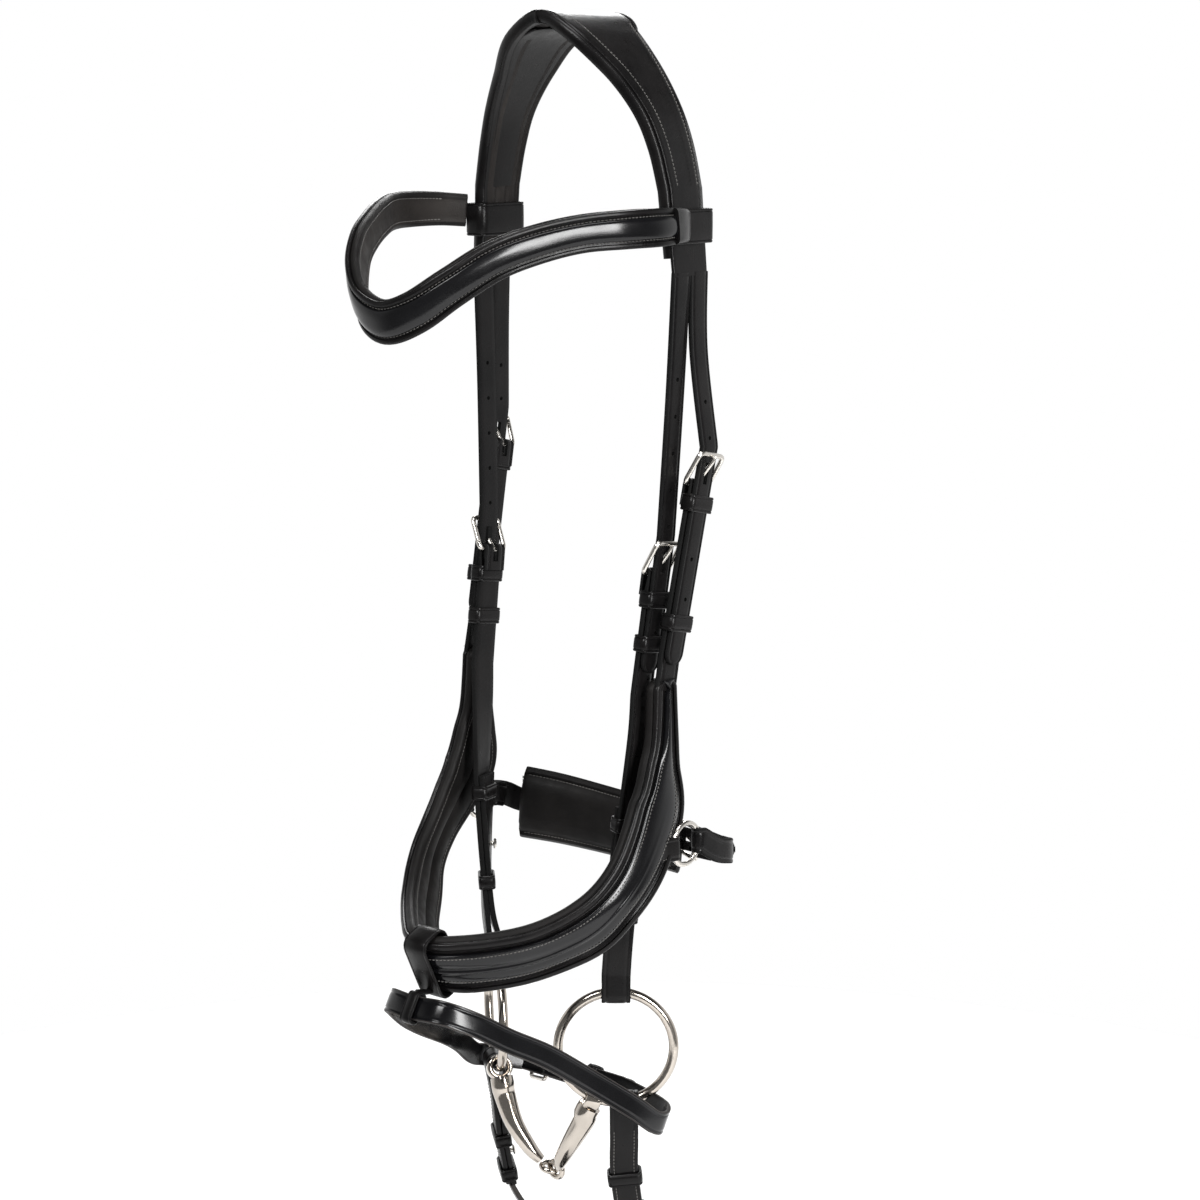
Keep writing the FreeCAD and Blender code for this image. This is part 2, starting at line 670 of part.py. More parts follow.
def make_bit():
    for side, word in ((1, "near"), (-1, "off")):
        ring = Part.makeTorus(RING, RING_WIRE, RING_AT, ring_axis(1))
        save("bit_ring_" + word, sided(ring, side))

    hole = on_ring(CANNON_ANGLE)
    along = along_ring(CANNON_ANGLE)
    eye = Part.makeCylinder(EYE_BARREL, EYE_LONG, hole - along * (EYE_LONG / 2), along)
    middle_line = [hole + V(-2.5, -0.5, -5.5), V(30, -31, -609), V(21.5, -32.3, -624),
                   V(12, -29.5, -637.5), V(6, -25.3, -645.5)]
    radii = [6.6, 6.2, 5.3, 4.2, 3.0]
    discs = []
    for i, (point, radius) in enumerate(zip(middle_line, radii)):
        ahead = middle_line[min(i + 1, 4)] - middle_line[max(i - 1, 0)]
        discs.append(Part.Wire([Part.makeCircle(radius, point, ahead)]))
    shank = Part.makeLoft(discs, True, False)
    body = fused([eye, shank]).cut(ring_way(CANNON_WAY))
    apart = V(LINK_APART, 0, 0)
    upright = Part.makeTorus(LINK, LINK_WIRE, JOINT_AT + apart, V(0, 1, 0))
    level = Part.makeTorus(LINK, LINK_WIRE, JOINT_AT - apart, V(0.25, 0, 1))
    save("bit_cannon_near", fused([body, upright]))
    save("bit_cannon_off", fused([sided(body, -1), level]))


# ---------------------------------------------------------------- reins

def coil_point(angle, radius):
    a = math.radians(angle)
    return COIL_AT + V(0, radius * math.cos(a), radius * math.sin(a))


REIN_TOP = on_ring(REIN_ANGLE)
# The rein's folded end, two plies, from below the ring to where the free rein starts
REIN_FOLDED = [
    (V(47, -16.0, -640), unit(V(0.77, 0.64, 0)), STRAP),
    (V(46.5, -9.5, -672), unit(V(0.80, 0.60, 0)), STRAP),
]
# The free rein's middle line, down to its coil
REIN_FREE = [
    REIN_FOLDED[1],
    (V(38, 3, -702), unit(V(0.92, 0.38, 0)), STRAP),
    (V(22, 22, -728), unit(V(0.99, 0.14, 0)), STRAP),
    (coil_point(REIN_START_ANGLE, REIN_START_R), V(1, 0, 0), STRAP),
]


def rein_stops():
    """Middle line and half gap of the folded end, from the ring down."""
    first, second = REIN_FOLDED
    cross = ring_across()
    waist = (REIN_TOP * 0.45 + first[0] * 0.55, cross, STRAP)
    return list(zip([(REIN_TOP, cross, STRAP), waist, first, second],
                    [EYE - PLY, 0.9, LAY / 2, LAY / 2]))


def make_rein_end():
    cross = ring_across()
    face = ring_axis(1)
    eye = Part.makeCylinder(EYE, STRAP, REIN_TOP - cross * (STRAP / 2), cross)
    plies = []
    for sign in (1, -1):
        middle = sign * PLY / 2
        route = [(p + face * (sign * gap + middle), a, w) for (p, a, w), gap in rein_stops()]
        plies.append(layer(route, -PLY / 2, PLY / 2))
    return fused([eye] + plies).cut(ring_way(REIN_WAY))


def make_rein_keepers():
    loop = keeper(STRAP, -PLY - LAY / 2, PLY + LAY / 2, 8.0)
    first, second = REIN_FOLDED
    run = second[0] - first[0]
    loops = [seat(loop, first[0] + run * share, first[1], run * -1) for share in (0.1, 0.8)]
    out = unit(run).cross(first[1])
    base = first[0] + run * 0.45 - unit(out) * (PLY + LAY)
    stud = stud_on(base, unit(out) * -1)
    return loops, stud


def stud_on(base, out):
    """A hook stud: a neck and a round head, standing on a strap's face."""
    return fused([rod(base, base + out * 2.4, 1.6), rod(base + out * 2.0, base + out * 3.6, 2.8)])


def make_reins():
    end = make_rein_end()
    loops, stud = make_rein_keepers()
    save("rein_ends", end, sided(end, -1))
    save("rein_keepers", *(loops + [sided(s, -1) for s in loops]))
    save("rein_hook_studs", stud, sided(stud, -1))
    strap = layer(smooth(REIN_FREE, 3), -PLY / 2, PLY / 2)
    axis = V(1, 0, 0)
    corner = COIL_AT - axis * (STRAP / 2)
    coil = Part.makeCylinder(COIL_OUTER, STRAP, corner, axis)
    coil = coil.cut(Part.makeCylinder(COIL_INNER, STRAP, corner, axis))
    for side, word in ((1, "near"), (-1, "off")):
        save("rein_strap_" + word, sided(strap, side))
        save("rein_coil_" + word, sided(coil, side))

    wide = COIL_X + STRAP / 2 + 0.4
    band = slab(wide + 1.5, -6.0, 6.0, COIL_INNER - 3.0, COIL_OUTER + 2.5)
    hollow = slab(wide, -7.0, 7.0, COIL_INNER - 1.2, COIL_OUTER + 0.7)
    middle = V(0, COIL_AT.y, COIL_AT.z)
    save("rein_tie", seat(band.cut(hollow), middle, V(-1, 0, 0), V(0, 1, 0)))

    a = math.radians(REIN_LAST_ANGLE)
    up = V(0, math.sin(a), -math.cos(a))
    place = coil_point(REIN_LAST_ANGLE, REIN_LAST_R - PLY / 2)
    cross = V(-1, 0, 0)
    flat = slab(STRAP / 2, -18.0, 0.0, -PLY, 0.0)
    fold = fused([flat, fold_round_bar(STRAP)]).cut(bar_and_crew_room(STRAP))
    save("rein_buckle_fold", seat(fold, place, cross, up))
    save("rein_buckle_frame", seat(buckle_frame(STRAP), place, cross, up))
    save("rein_tongue", seat(buckle_tongue(), place, cross, up))


def main():
    os.makedirs("parts", exist_ok=True)
    make_headpiece()
    make_browband()
    make_noseband()
    make_cheekpieces()
    make_buckles()
    make_lower_keepers()
    make_chin_strap()
    make_flash()
    make_bit()
    make_reins()


main()
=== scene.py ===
"""Snaffle bridle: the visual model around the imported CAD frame.

Routes are written in millimetres as the part's source has them, with heights from the crown's
top, and at() turns them into the row frame. +X is the horse's near side, -Y is forward.
"""
import math

import bmesh
import bpy
from mathutils import Matrix, Vector


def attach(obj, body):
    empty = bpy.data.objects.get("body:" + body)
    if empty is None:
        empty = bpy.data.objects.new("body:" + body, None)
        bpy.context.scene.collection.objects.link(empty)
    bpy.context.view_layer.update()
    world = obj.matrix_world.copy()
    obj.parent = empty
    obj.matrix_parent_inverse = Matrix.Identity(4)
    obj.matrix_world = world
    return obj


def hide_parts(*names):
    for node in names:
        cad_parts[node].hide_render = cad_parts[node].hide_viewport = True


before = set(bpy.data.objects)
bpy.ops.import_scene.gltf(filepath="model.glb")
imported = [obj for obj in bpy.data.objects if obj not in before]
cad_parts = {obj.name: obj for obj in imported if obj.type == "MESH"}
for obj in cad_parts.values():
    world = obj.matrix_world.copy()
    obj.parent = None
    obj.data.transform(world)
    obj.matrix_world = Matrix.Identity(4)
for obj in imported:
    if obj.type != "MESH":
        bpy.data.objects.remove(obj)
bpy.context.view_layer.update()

# ---------------------------------------------------------------- dimensions, mm

CROWN = 7.5             # thickness of the headpiece at the crown
STRAP = 16.0
PLY = 3.0
BILLET = 14.0
BILLET_PLY = 2.4
LAY = 0.3
CHIN = 14.0
FLASH = 13.0
FLASH_PLY = 2.4
HEADPIECE_PLY = 2.4
FRAME_RISE = 17.0       # hinge bar to top bar of a buckle
BUCKLE_WIRE = 1.4
BUCKLE_WAY = 0.9        # from a strap's edge to the buckle's side
BUCKLE_CORNER = 3.4
BAR_DROP = 3.0          # hinge bar's middle, below the strap's outer face
FOLD_PLY = 1.5          # leather is thinned where it goes round the bar
TONGUE_REACH = 19.6
TONGUE_LEAN = math.radians(33.0)
TONGUE_SHAPE = ((0.0, 2.3), (0.08, 1.75), (0.2, 1.25), (0.5, 1.15), (0.8, 1.1), (0.93, 0.9),
                (1.0, 0.45))    # share of the reach, and radius there
TONGUE_SLOT = (1.6, 0.8, 12.4, -0.5, 4.0)   # half width, then low and high ends up and outward
FOLD_SLOT = (2.2, -7.0, 5.0, -8.0, 0.6)
KEEPER_WAY = 0.4        # room inside a keeper, beside and behind the straps
KEEPER_OVER = 0.45      # and over them
KEEPER_WALL = 1.3
HOOK_STUD = ((-0.5, 1.4), (1.8, 1.4), (2.0, 2.8), (2.6, 3.0), (3.2, 2.4), (3.5, 0.6))

RING = 32.25            # bit ring, to the middle of the wire
RING_WIRE = 2.75
RING_TURN = math.radians(40.0)
SMALL_RING = 11.5
SMALL_WIRE = 1.5


def V(x, y, z):
    return Vector((x, y, z))


RING_AT = V(45.1, -21.3, -565.0)
SMALL_RING_AT = V(76.0, 1.0, -446.6)
RING_ACROSS = V(math.cos(RING_TURN), math.sin(RING_TURN), 0)
RING_FACE = V(math.sin(RING_TURN), -math.cos(RING_TURN), 0)
X_AXIS = V(1, 0, 0)
Y_AXIS = V(0, 1, 0)
UPWARD = V(0, 0, 1)
DOWNWARD = V(0, 0, -1)


def at(point):
    """Millimetres from the crown's top to metres in the row frame."""
    return Vector((point.x, point.y, point.z + CROWN)) / 1000


# ---------------------------------------------------------------- materials

def new_material(name, colour, roughness):
    material = bpy.data.materials.new(name)
    material.use_nodes = True
    tree = material.node_tree
    shader = tree.nodes["Principled BSDF"]
    shader.inputs["Base Color"].default_value = (*colour, 1)
    shader.inputs["Roughness"].default_value = roughness
    return material, tree, shader


def noise(tree, scale, detail=3.0, vector=None):
    node = tree.nodes.new("ShaderNodeTexNoise")
    node.inputs["Scale"].default_value = scale
    node.inputs["Detail"].default_value = detail
    if vector:
        tree.links.new(vector, node.inputs["Vector"])
    return node


def ramp(tree, source, stops):
    node = tree.nodes.new("ShaderNodeValToRGB")
    tree.links.new(source, node.inputs["Fac"])
    elements = node.color_ramp.elements
    while len(elements) < len(stops):
        elements.new(0.5)
    for element, (place, colour) in zip(elements, stops):
        element.position = place
        element.color = (*colour, 1) if hasattr(colour, "__len__") else (colour, colour, colour, 1)
    return node


SHEEN = 0.12            # how much light the leather's finish returns


def leather(name, dark, light, rough, grain=1500.0, bump=0.35, coat=0.0):
    """Grained leather: pores, slow colour changes, and a finish that varies where it is handled."""
    material, tree, shader = new_material(name, dark, sum(rough) / 2)
    place = tree.nodes.new("ShaderNodeTexCoord").outputs["Object"]
    slow = noise(tree, 38.0, 4.0, place)
    tone = ramp(tree, slow.outputs["Fac"], [(0.35, dark), (0.7, light)])
    tree.links.new(tone.outputs["Color"], shader.inputs["Base Color"])
    wear = noise(tree, 160.0, 5.0, place)
    gloss = ramp(tree, wear.outputs["Fac"], [(0.3, rough[0]), (0.75, rough[1])])
    tree.links.new(gloss.outputs["Color"], shader.inputs["Roughness"])
    pores = tree.nodes.new("ShaderNodeTexVoronoi")
    pores.inputs["Scale"].default_value = grain
    tree.links.new(place, pores.inputs["Vector"])
    wrinkle = noise(tree, grain * 0.35, 6.0, place)
    both = tree.nodes.new("ShaderNodeMath")
    both.operation = "ADD"
    tree.links.new(pores.outputs["Distance"], both.inputs[0])
    tree.links.new(wrinkle.outputs["Fac"], both.inputs[1])
    relief = tree.nodes.new("ShaderNodeBump")
    relief.inputs["Strength"].default_value = bump
    relief.inputs["Distance"].default_value = 0.00012
    tree.links.new(both.outputs["Value"], relief.inputs["Height"])
    tree.links.new(relief.outputs["Normal"], shader.inputs["Normal"])
    shader.inputs["Specular IOR Level"].default_value = SHEEN
    shader.inputs["Coat Weight"].default_value = coat
    shader.inputs["Coat Roughness"].default_value = 0.18
    return material


def metal(name, colour, rough, scratch=900.0):
    material, tree, shader = new_material(name, colour, sum(rough) / 2)
    shader.inputs["Metallic"].default_value = 1.0
    place = tree.nodes.new("ShaderNodeTexCoord").outputs["Object"]
    slow = noise(tree, 70.0, 3.0, place)
    shade = tuple(c * 0.86 for c in colour)
    tone = ramp(tree, slow.outputs["Fac"], [(0.3, shade), (0.7, colour)])
    tree.links.new(tone.outputs["Color"], shader.inputs["Base Color"])
    fine = noise(tree, scratch, 5.0, place)
    gloss = ramp(tree, fine.outputs["Fac"], [(0.3, rough[0]), (0.7, rough[1])])
    tree.links.new(gloss.outputs["Color"], shader.inputs["Roughness"])
    relief = tree.nodes.new("ShaderNodeBump")
    relief.inputs["Strength"].default_value = 0.06
    relief.inputs["Distance"].default_value = 0.0001
    tree.links.new(fine.outputs["Fac"], relief.inputs["Height"])
    tree.links.new(relief.outputs["Normal"], shader.inputs["Normal"])
    return material


BLACK = leather("black_leather", (0.0028, 0.0026, 0.0027), (0.0056, 0.0050, 0.0050), (0.26, 0.42),
                coat=0.06)
GLAZED = leather("glazed_leather", (0.0022, 0.0022, 0.0026), (0.0042, 0.0042, 0.0048), (0.15, 0.25),
                 grain=1900.0, bump=0.12, coat=0.4)
MATTE = leather("matte_leather", (0.0036, 0.0033, 0.0032), (0.0072, 0.0064, 0.0061), (0.46, 0.62))
LINING = leather("soft_lining", (0.011, 0.0095, 0.0088), (0.019, 0.0165, 0.015), (0.5, 0.68),
                 grain=1100.0, bump=0.5)
EDGE = leather("cut_edge", (0.02, 0.018, 0.017), (0.05, 0.045, 0.042), (0.45, 0.6), grain=2500.0)
THREAD = leather("thread", (0.06, 0.058, 0.055), (0.11, 0.105, 0.10), (0.35, 0.5), grain=3000.0)
HOLE = leather("punched_hole", (0.003, 0.003, 0.003), (0.005, 0.005, 0.005), (0.8, 0.9))
STEEL = metal("buckle_steel", (0.66, 0.63, 0.585), (0.16, 0.30))
WARM_STEEL = metal("bit_steel", (0.50, 0.455, 0.405), (0.10, 0.20))

# ---------------------------------------------------------------- strap tools


def unit(vector):
    return vector.normalized()


def square_to(vector, axis):
    """The part of the vector that is square to the axis, made a unit."""
    return unit(vector - axis * vector.dot(axis))


def hung(x, y, z, width, turn=0.0):
    """A station of a hanging strap: its point, cross direction turned from +Y, and width."""
    angle = math.radians(turn)
    return (V(x, y, z), V(math.sin(angle), math.cos(angle), 0), width)


def between(front, rear):
    """A station given by the two edges of the band."""
    front, rear = V(*front), V(*rear)
    return ((front + rear) * 0.5, unit(rear - front), (rear - front).length)


def mirrored(point):
    return V(-point.x, point.y, point.z)


def flipped(stations):
    """The mirrored stations in reverse order, for a band that crosses the middle."""
    return [(mirrored(p), mirrored(a) * (-1 if a.x * a.x > 0.999 else 1), w)
            for p, a, w in reversed(stations)]


def catmull(a, b, c, d, t):
    return (b * 2 + (c - a) * t + (a * 2 - b * 5 + c * 4 - d) * (t * t)
            + (b * 3 - a - c * 3 + d) * (t * t * t)) * 0.5


def smooth(stations, pitch=2.5):
    """Stations every pitch millimetres on a Catmull-Rom curve through the given ones."""
    result = []
    last = len(stations) - 1
    for i in range(last):
        four = [stations[min(max(k, 0), last)] for k in (i - 1, i, i + 1, i + 2)]
        steps = max(1, round((four[2][0] - four[1][0]).length / pitch))
        for step in range(steps):
            t = step / steps
            columns = [catmull(*[s[k] for s in four], t) for k in range(3)]
            result.append((columns[0], unit(columns[1]), columns[2]))
    return result + [stations[last]]


def straight(stations, pitch=2.5):
    """Stations every pitch millimetres on straight runs between the given ones."""
    result = []
    for (p, a, w), (q, b, x) in zip(stations, stations[1:]):
        steps = max(1, round((q - p).length / pitch))
        for step in range(steps):
            t = step / steps
            result.append((p.lerp(q, t), unit(a.lerp(b, t)), w + (x - w) * t))
    return result + [stations[-1]]


def framed(stations, closed=False):
    """Each station as its point, side direction, outward direction and half width."""
    frames = []
    count = len(stations)
    for i, (point, across, width) in enumerate(stations):
        if closed:
            before, after = stations[i - 1][0], stations[(i + 1) % count][0]
        else:
            before, after = stations[max(i - 1, 0)][0], stations[min(i + 1, count - 1)][0]
        along = unit(after - before)
        side = square_to(across, along)
        frames.append((point, side, unit(along.cross(side)), width / 2))
    return frames


def mesh_piece(name, verts, faces, materials, body, kinds=None, mirror=False, sharp=40.0):
    """A mesh object from millimetre points, riding on a CAD body."""
    if mirror:
        verts = [mirrored(v) for v in verts]
    mesh = bpy.data.meshes.new(name)
    mesh.from_pydata([at(v) for v in verts], [], faces)
    for material in materials:
        mesh.materials.append(material)
    if kinds:
        mesh.polygons.foreach_set("material_index", kinds)
    work = bmesh.new()
    work.from_mesh(mesh)
    bmesh.ops.recalc_face_normals(work, faces=work.faces)
    work.to_mesh(mesh)
    work.free()
    mesh.shade_smooth()
    mesh.set_sharp_from_angle(angle=math.radians(sharp))
    piece = bpy.data.objects.new(name, mesh)
    bpy.context.collection.objects.link(piece)
    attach(piece, body)
    return piece


def sweep(name, stations, profile, body, materials, closed=False, mirror=False, sharp=40.0):
    """A profile carried along stations.

    The profile is a closed ring of (a, b, h, kind): a is the share of the half width, b the
    millimetres added to it, h the height outward, kind the material of the face that follows.
    It may be a function of the station's share of the whole way, for a section that changes.
    """
    frames = framed(stations, closed)
    count = len(frames)
    rings = []
    for i, (point, side, out, half) in enumerate(frames):
        section = profile(i / (count - 1)) if callable(profile) else profile
        rings.append([point + side * (a * half + b) + out * h for a, b, h, _ in section])
    size = len(rings[0])
    section = profile(0.5) if callable(profile) else profile
    verts = [v for ring in rings for v in ring]
    faces = []
    kinds = []
    for i in range(count if closed else count - 1):
        j = (i + 1) % count
        for k in range(size):
            n = (k + 1) % size
            faces.append((i * size + k, i * size + n, j * size + n, j * size + k))
            kinds.append(section[k][3])
    if not closed:
        faces.append(tuple(range(size)))
        faces.append(tuple(range((count - 1) * size, count * size)))
        kinds += [section[0][3]] * 2
    return mesh_piece(name, verts, faces, materials, body, kinds, mirror, sharp)


def corner(a, b, h, radius, quarter, kind=0, parts=4):
    """Points round one corner of a strap's section; quarter 0 is +side +out, then onward."""
    points = []
    for i in range(parts + 1):
        angle = math.radians(90 * quarter + 90 * i / parts)
        points.append((a, b + radius * math.cos(angle), h + radius * math.sin(angle), kind))
    return points


def strap_section(low, high, radius=0.8, crease=0.0, inset=2.2, dome=0.15, edge=1):
    """A plain strap: rounded edges, a slight dome, and a pressed line near each edge."""
    r = min(radius, (high - low) / 2 - 0.05)
    section = corner(1, -r, high - r, r, 0, edge)
    section[-1] = section[-1][:3] + (0,)

    def line(sign):
        marks = [(-0.55, 0), (-0.2, 0.8), (0.15, 1), (0.5, 0.8), (0.85, 0)]
        if not crease:
            return [(sign, -sign * inset, high + dome * 0.3, 0)]
        return [(sign, -sign * (inset + m), high + dome * 0.3 - crease * d, 0)
                for m, d in (marks if sign > 0 else reversed(marks))]

    section += line(1)
    section += [(0.45, 0, high + dome * 0.8, 0), (0, 0, high + dome, 0), (-0.45, 0, high + dome * 0.8, 0)]
    section += line(-1)
    section += corner(-1, r, high - r, r, 1, edge)
    section += corner(-1, r, low + r, r, 2, edge)
    section[-1] = section[-1][:3] + (0,)
    section += [(-0.5, 0, low, 0), (0, 0, low, 0), (0.5, 0, low, 0)]
    section += corner(1, -r, low + r, r, 3, edge)
    return section


def tapered(stations, length, start=False):
    """Narrow the last stations to a rounded point of this length."""
    order = list(reversed(stations)) if start else list(stations)
    end = order[-1][0]
    result = []
    for point, across, width in order:
        left = (point - end).length
        if left < length:
            share = max(1 - (1 - left / length) ** 2.2, 0.0) ** 0.5
            width = max(width * share, 1.9)
        result.append((point, across, width))
    return list(reversed(result)) if start else result


def extended(stations, length, pitch):
    """More stations near the end, so that a tip's curve is smooth."""
    end = stations[-1][0]
    keep = [s for s in stations if (s[0] - end).length >= length]
    point, across, width = keep[-1]
    count = max(2, round((end - point).length / pitch))
    return keep + [(point.lerp(end, i / count), across, width) for i in range(1, count + 1)]


def stitches(name, stations, a, b, h, body, pitch=2.1, long=1.6, thick=0.32, mirror=False,
             span=(0.0, 1.0)):
    """A row of thread stitches: short spindles with their ends sunk in the leather."""
    frames = framed(stations)
    rail = [p + side * (a * half + b) + out * h for p, side, out, half in frames]
    outs = [out for _, _, out, _ in frames]
    total = sum((q - p).length for p, q in zip(rail, rail[1:]))
    verts = []
    faces = []
    travelled = 0.0
    next_at = total * span[0] + pitch
    for i, (p, q) in enumerate(zip(rail, rail[1:])):
        step = (q - p).length
        while next_at < travelled + step and next_at < total * span[1] - pitch / 2:
            centre = p.lerp(q, (next_at - travelled) / step)
            along = unit(q - p)
            out = square_to(outs[i], along)
            side = along.cross(out)
            base = len(verts)
            for share, radius, sink in ((-0.5, 0.4, -0.45), (-0.25, 0.95, 0.0), (0.0, 1.0, 0.08),
                                        (0.25, 0.95, 0.0), (0.5, 0.4, -0.45)):
                ring_at = centre + along * (share * long) + out * (sink * thick * 2)
                for k in range(6):
                    turn = math.radians(60 * k)
                    verts.append(ring_at + (side * math.cos(turn) + out * math.sin(turn))
                                 * (thick * radius))
            for ring in range(4):
                for k in range(6):
                    n = (k + 1) % 6
                    low = base + ring * 6
                    faces.append((low + k, low + n, low + 6 + n, low + 6 + k))
            faces.append(tuple(base + k for k in range(6)))
            faces.append(tuple(base + 24 + k for k in range(6)))
            next_at += pitch
        travelled += step
    piece = mesh_piece(name, verts, faces, [THREAD], body, mirror=mirror)
    return piece


def apply_cut(piece, work):
    """Cut the bmesh out of the piece, and leave no modifier behind."""
    mesh = bpy.data.meshes.new("cutter")
    work.to_mesh(mesh)
    work.free()
    mesh.materials.append(HOLE)
    cutter = bpy.data.objects.new("cutter", mesh)
    bpy.context.collection.objects.link(cutter)
    boolean = piece.modifiers.new("cut", "BOOLEAN")
    boolean.operation = "DIFFERENCE"
    boolean.object = cutter
    boolean.solver = "EXACT"
    boolean.material_mode = "TRANSFER"
    graph = bpy.context.evaluated_depsgraph_get()
    final = bpy.data.meshes.new_from_object(piece.evaluated_get(graph))
    piece.modifiers.clear()
    piece.data = final
    final.set_sharp_from_angle(angle=math.radians(40))
    bpy.data.objects.remove(cutter)


def cut_holes(piece, holes, radius=1.25, length=9.0):
    """Real punched holes through a strap: (point, direction) in millimetres."""
    work = bmesh.new()
    for point, direction in holes:
        turn = Vector((0, 0, 1)).rotation_difference(direction).to_matrix().to_4x4()
        bmesh.ops.create_cone(work, cap_ends=True, segments=18, radius1=radius / 1000,
                              radius2=radius / 1000, depth=length / 1000,
                              matrix=Matrix.Translation(at(point)) @ turn)
    apply_cut(piece, work)


def local_axes(origin, down, across=Y_AXIS):
    """Axes of a buckle: x across, y up the strap, z outward, as in the part's source."""
    up = unit(down) * -1
    x = square_to(across, up)
    return origin, x, up, x.cross(up)


def placed(axes, x, y, z):
    """A point given in local axes."""
    origin, side, up, out = axes
    return origin + side * x + up * y + out * z


def tube(name, points, radii, body, materials, closed=False, mirror=False, flat=1.0, across=None,
         segments=14):
    """A round or flattened bar along points, for buckles and rings."""
    count = len(points)
    verts = []
    faces = []
    normal = across
    for i, point in enumerate(points):
        if closed:
            along = unit(points[(i + 1) % count] - points[i - 1])
        else:
            along = unit(points[min(i + 1, count - 1)] - points[max(i - 1, 0)])
        side = square_to(normal, along)
        other = along.cross(side)
        radius = radii[i] if hasattr(radii, "__len__") else radii
        for k in range(segments):
            turn = 2 * math.pi * k / segments
            verts.append(point + side * (radius * math.cos(turn))
                         + other * (radius * flat * math.sin(turn)))
    for i in range(count if closed else count - 1):
        j = (i + 1) % count
        for k in range(segments):
            n = (k + 1) % segments
            faces.append((i * segments + k, i * segments + n, j * segments + n, j * segments + k))
    if not closed:
        faces.append(tuple(range(segments)))
        faces.append(tuple(range((count - 1) * segments, count * segments)))
    return mesh_piece(name, verts, faces, materials, body, mirror=mirror, sharp=60.0)


def rounded_path(points, radius, parts=6):
    """A closed path with its corners rounded."""
    path = []
    count = len(points)
    for i, point in enumerate(points):
        before, after = points[i - 1], points[(i + 1) % count]
        first = point + unit(before - point) * radius
        last = point + unit(after - point) * radius
        for k in range(parts + 1):
            t = k / parts
            path.append(first.lerp(point, t).lerp(point.lerp(last, t), t))
    return path


def loop_band(name, axes, half, low, high, height, wall, body, materials, mirror=False,
              crease=0.0, bend=1.4):
    """A keeper: a leather band bent round the straps, with pressed lines round it."""
    corners = [placed(axes, x, 0, z) for x, z in
               ((-half, low), (half, low), (half, high), (-half, high))]
    path = rounded_path(corners, bend)
    count = len(path)
    middle = sum(path, V(0, 0, 0)) / count
    up = axes[2]
    e = height / 2
    c = crease
    section = [(-e + 0.4, wall), (-e + 1.1, wall + 0.05), (-e + 1.5, wall - c), (-e + 1.9, wall + 0.08),
               (0, wall + 0.15),
               (e - 1.9, wall + 0.08), (e - 1.5, wall - c), (e - 1.1, wall + 0.05), (e - 0.4, wall),
               (e, wall - 0.4), (e, 0.3), (e - 0.3, 0), (-e + 0.3, 0), (-e, 0.3), (-e, wall - 0.4)]
    size = len(section)
    verts = []
    faces = []
    for i, point in enumerate(path):
        along = unit(path[(i + 1) % count] - path[i - 1])
        out = along.cross(up)
        if out.dot(point - middle) < 0:
            out = out * -1
        verts += [point + up * y + out * t for y, t in section]
    for i in range(count):
        j = (i + 1) % count
        for k in range(size):
            n = (k + 1) % size
            faces.append((i * size + k, i * size + n, j * size + n, j * size + k))
    return mesh_piece(name, verts, faces, materials, body, mirror=mirror)


def replaced(piece, slot, *nodes):
    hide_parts(*nodes)
    return piece


def grouped(node=None):
    """Hides the CAD node that pieces of one material stand for together; with no node it does nothing."""
    if node:
        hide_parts(node)


# ---------------------------------------------------------------- shared shapes

def narrowed(section, by):
    """The section with both edges moved in by some millimetres."""
    return [(a, b - by * (1 if a > 0.99 else -1 if a < -0.99 else 0), h, k)
            for a, b, h, k in section]


def rolled_edges(roll, low, high, valley, inset, crown=0.0):
    """A padded band's section: round rolls along both edges and a lower channel inside them."""
    section = []
    for sign in (1, -1):
        turns = [-80 + 20 * k for k in range(11)]
        for turn in turns if sign > 0 else reversed(turns):
            angle = math.radians(turn)
            section.append((sign, sign * (roll * math.cos(angle) - roll),
                            (low + high) / 2 + (high - low) / 2 * math.sin(angle), 0))
        if sign > 0:
            section += [(1, -inset * 0.8, valley + 0.3, 0), (1, -inset, valley, 0)]
            section += [(0.4, 0, valley + crown, 0), (0, 0, valley + crown, 0),
                        (-0.4, 0, valley + crown, 0)]
            section += [(-1, inset, valley, 0), (-1, inset * 0.8, valley + 0.3, 0)]
    return section


def lining_section(low, high, roll, humps, depth, bulge=0.0, seat=0.3):
    """A soft lining: rolls at the edges and lengthwise humps on the face next to the horse."""
    middle = (low + high) / 2
    half = (high - low) / 2
    section = []
    for turn in range(-90, 91, 15):
        angle = math.radians(turn)
        section.append((1, bulge - roll + roll * math.cos(angle), middle + half * math.sin(angle), 0))
    section += [(1, bulge - 1.7 * roll, (high + seat) / 2, 0), (1, bulge - 2 * roll, seat, 0)]
    section += [(0.3, 0, seat, 0), (-0.3, 0, seat, 0)]
    section += [(-1, 2 * roll - bulge, seat, 0), (-1, 1.7 * roll - bulge, (high + seat) / 2, 0)]
    for turn in range(90, -91, -15):
        angle = math.radians(turn)
        section.append((-1, roll - bulge - roll * math.cos(angle), middle + half * math.sin(angle), 0))
    parts = humps * 8
    for k in range(1, parts):
        share = k / parts
        dip = depth * (1 - abs(math.sin(math.pi * humps * share)) ** 0.6)
        section.append((-0.8 + 1.6 * share, 0, low + dip, 1))
    section.append((1, -roll, low, 0))
    return section


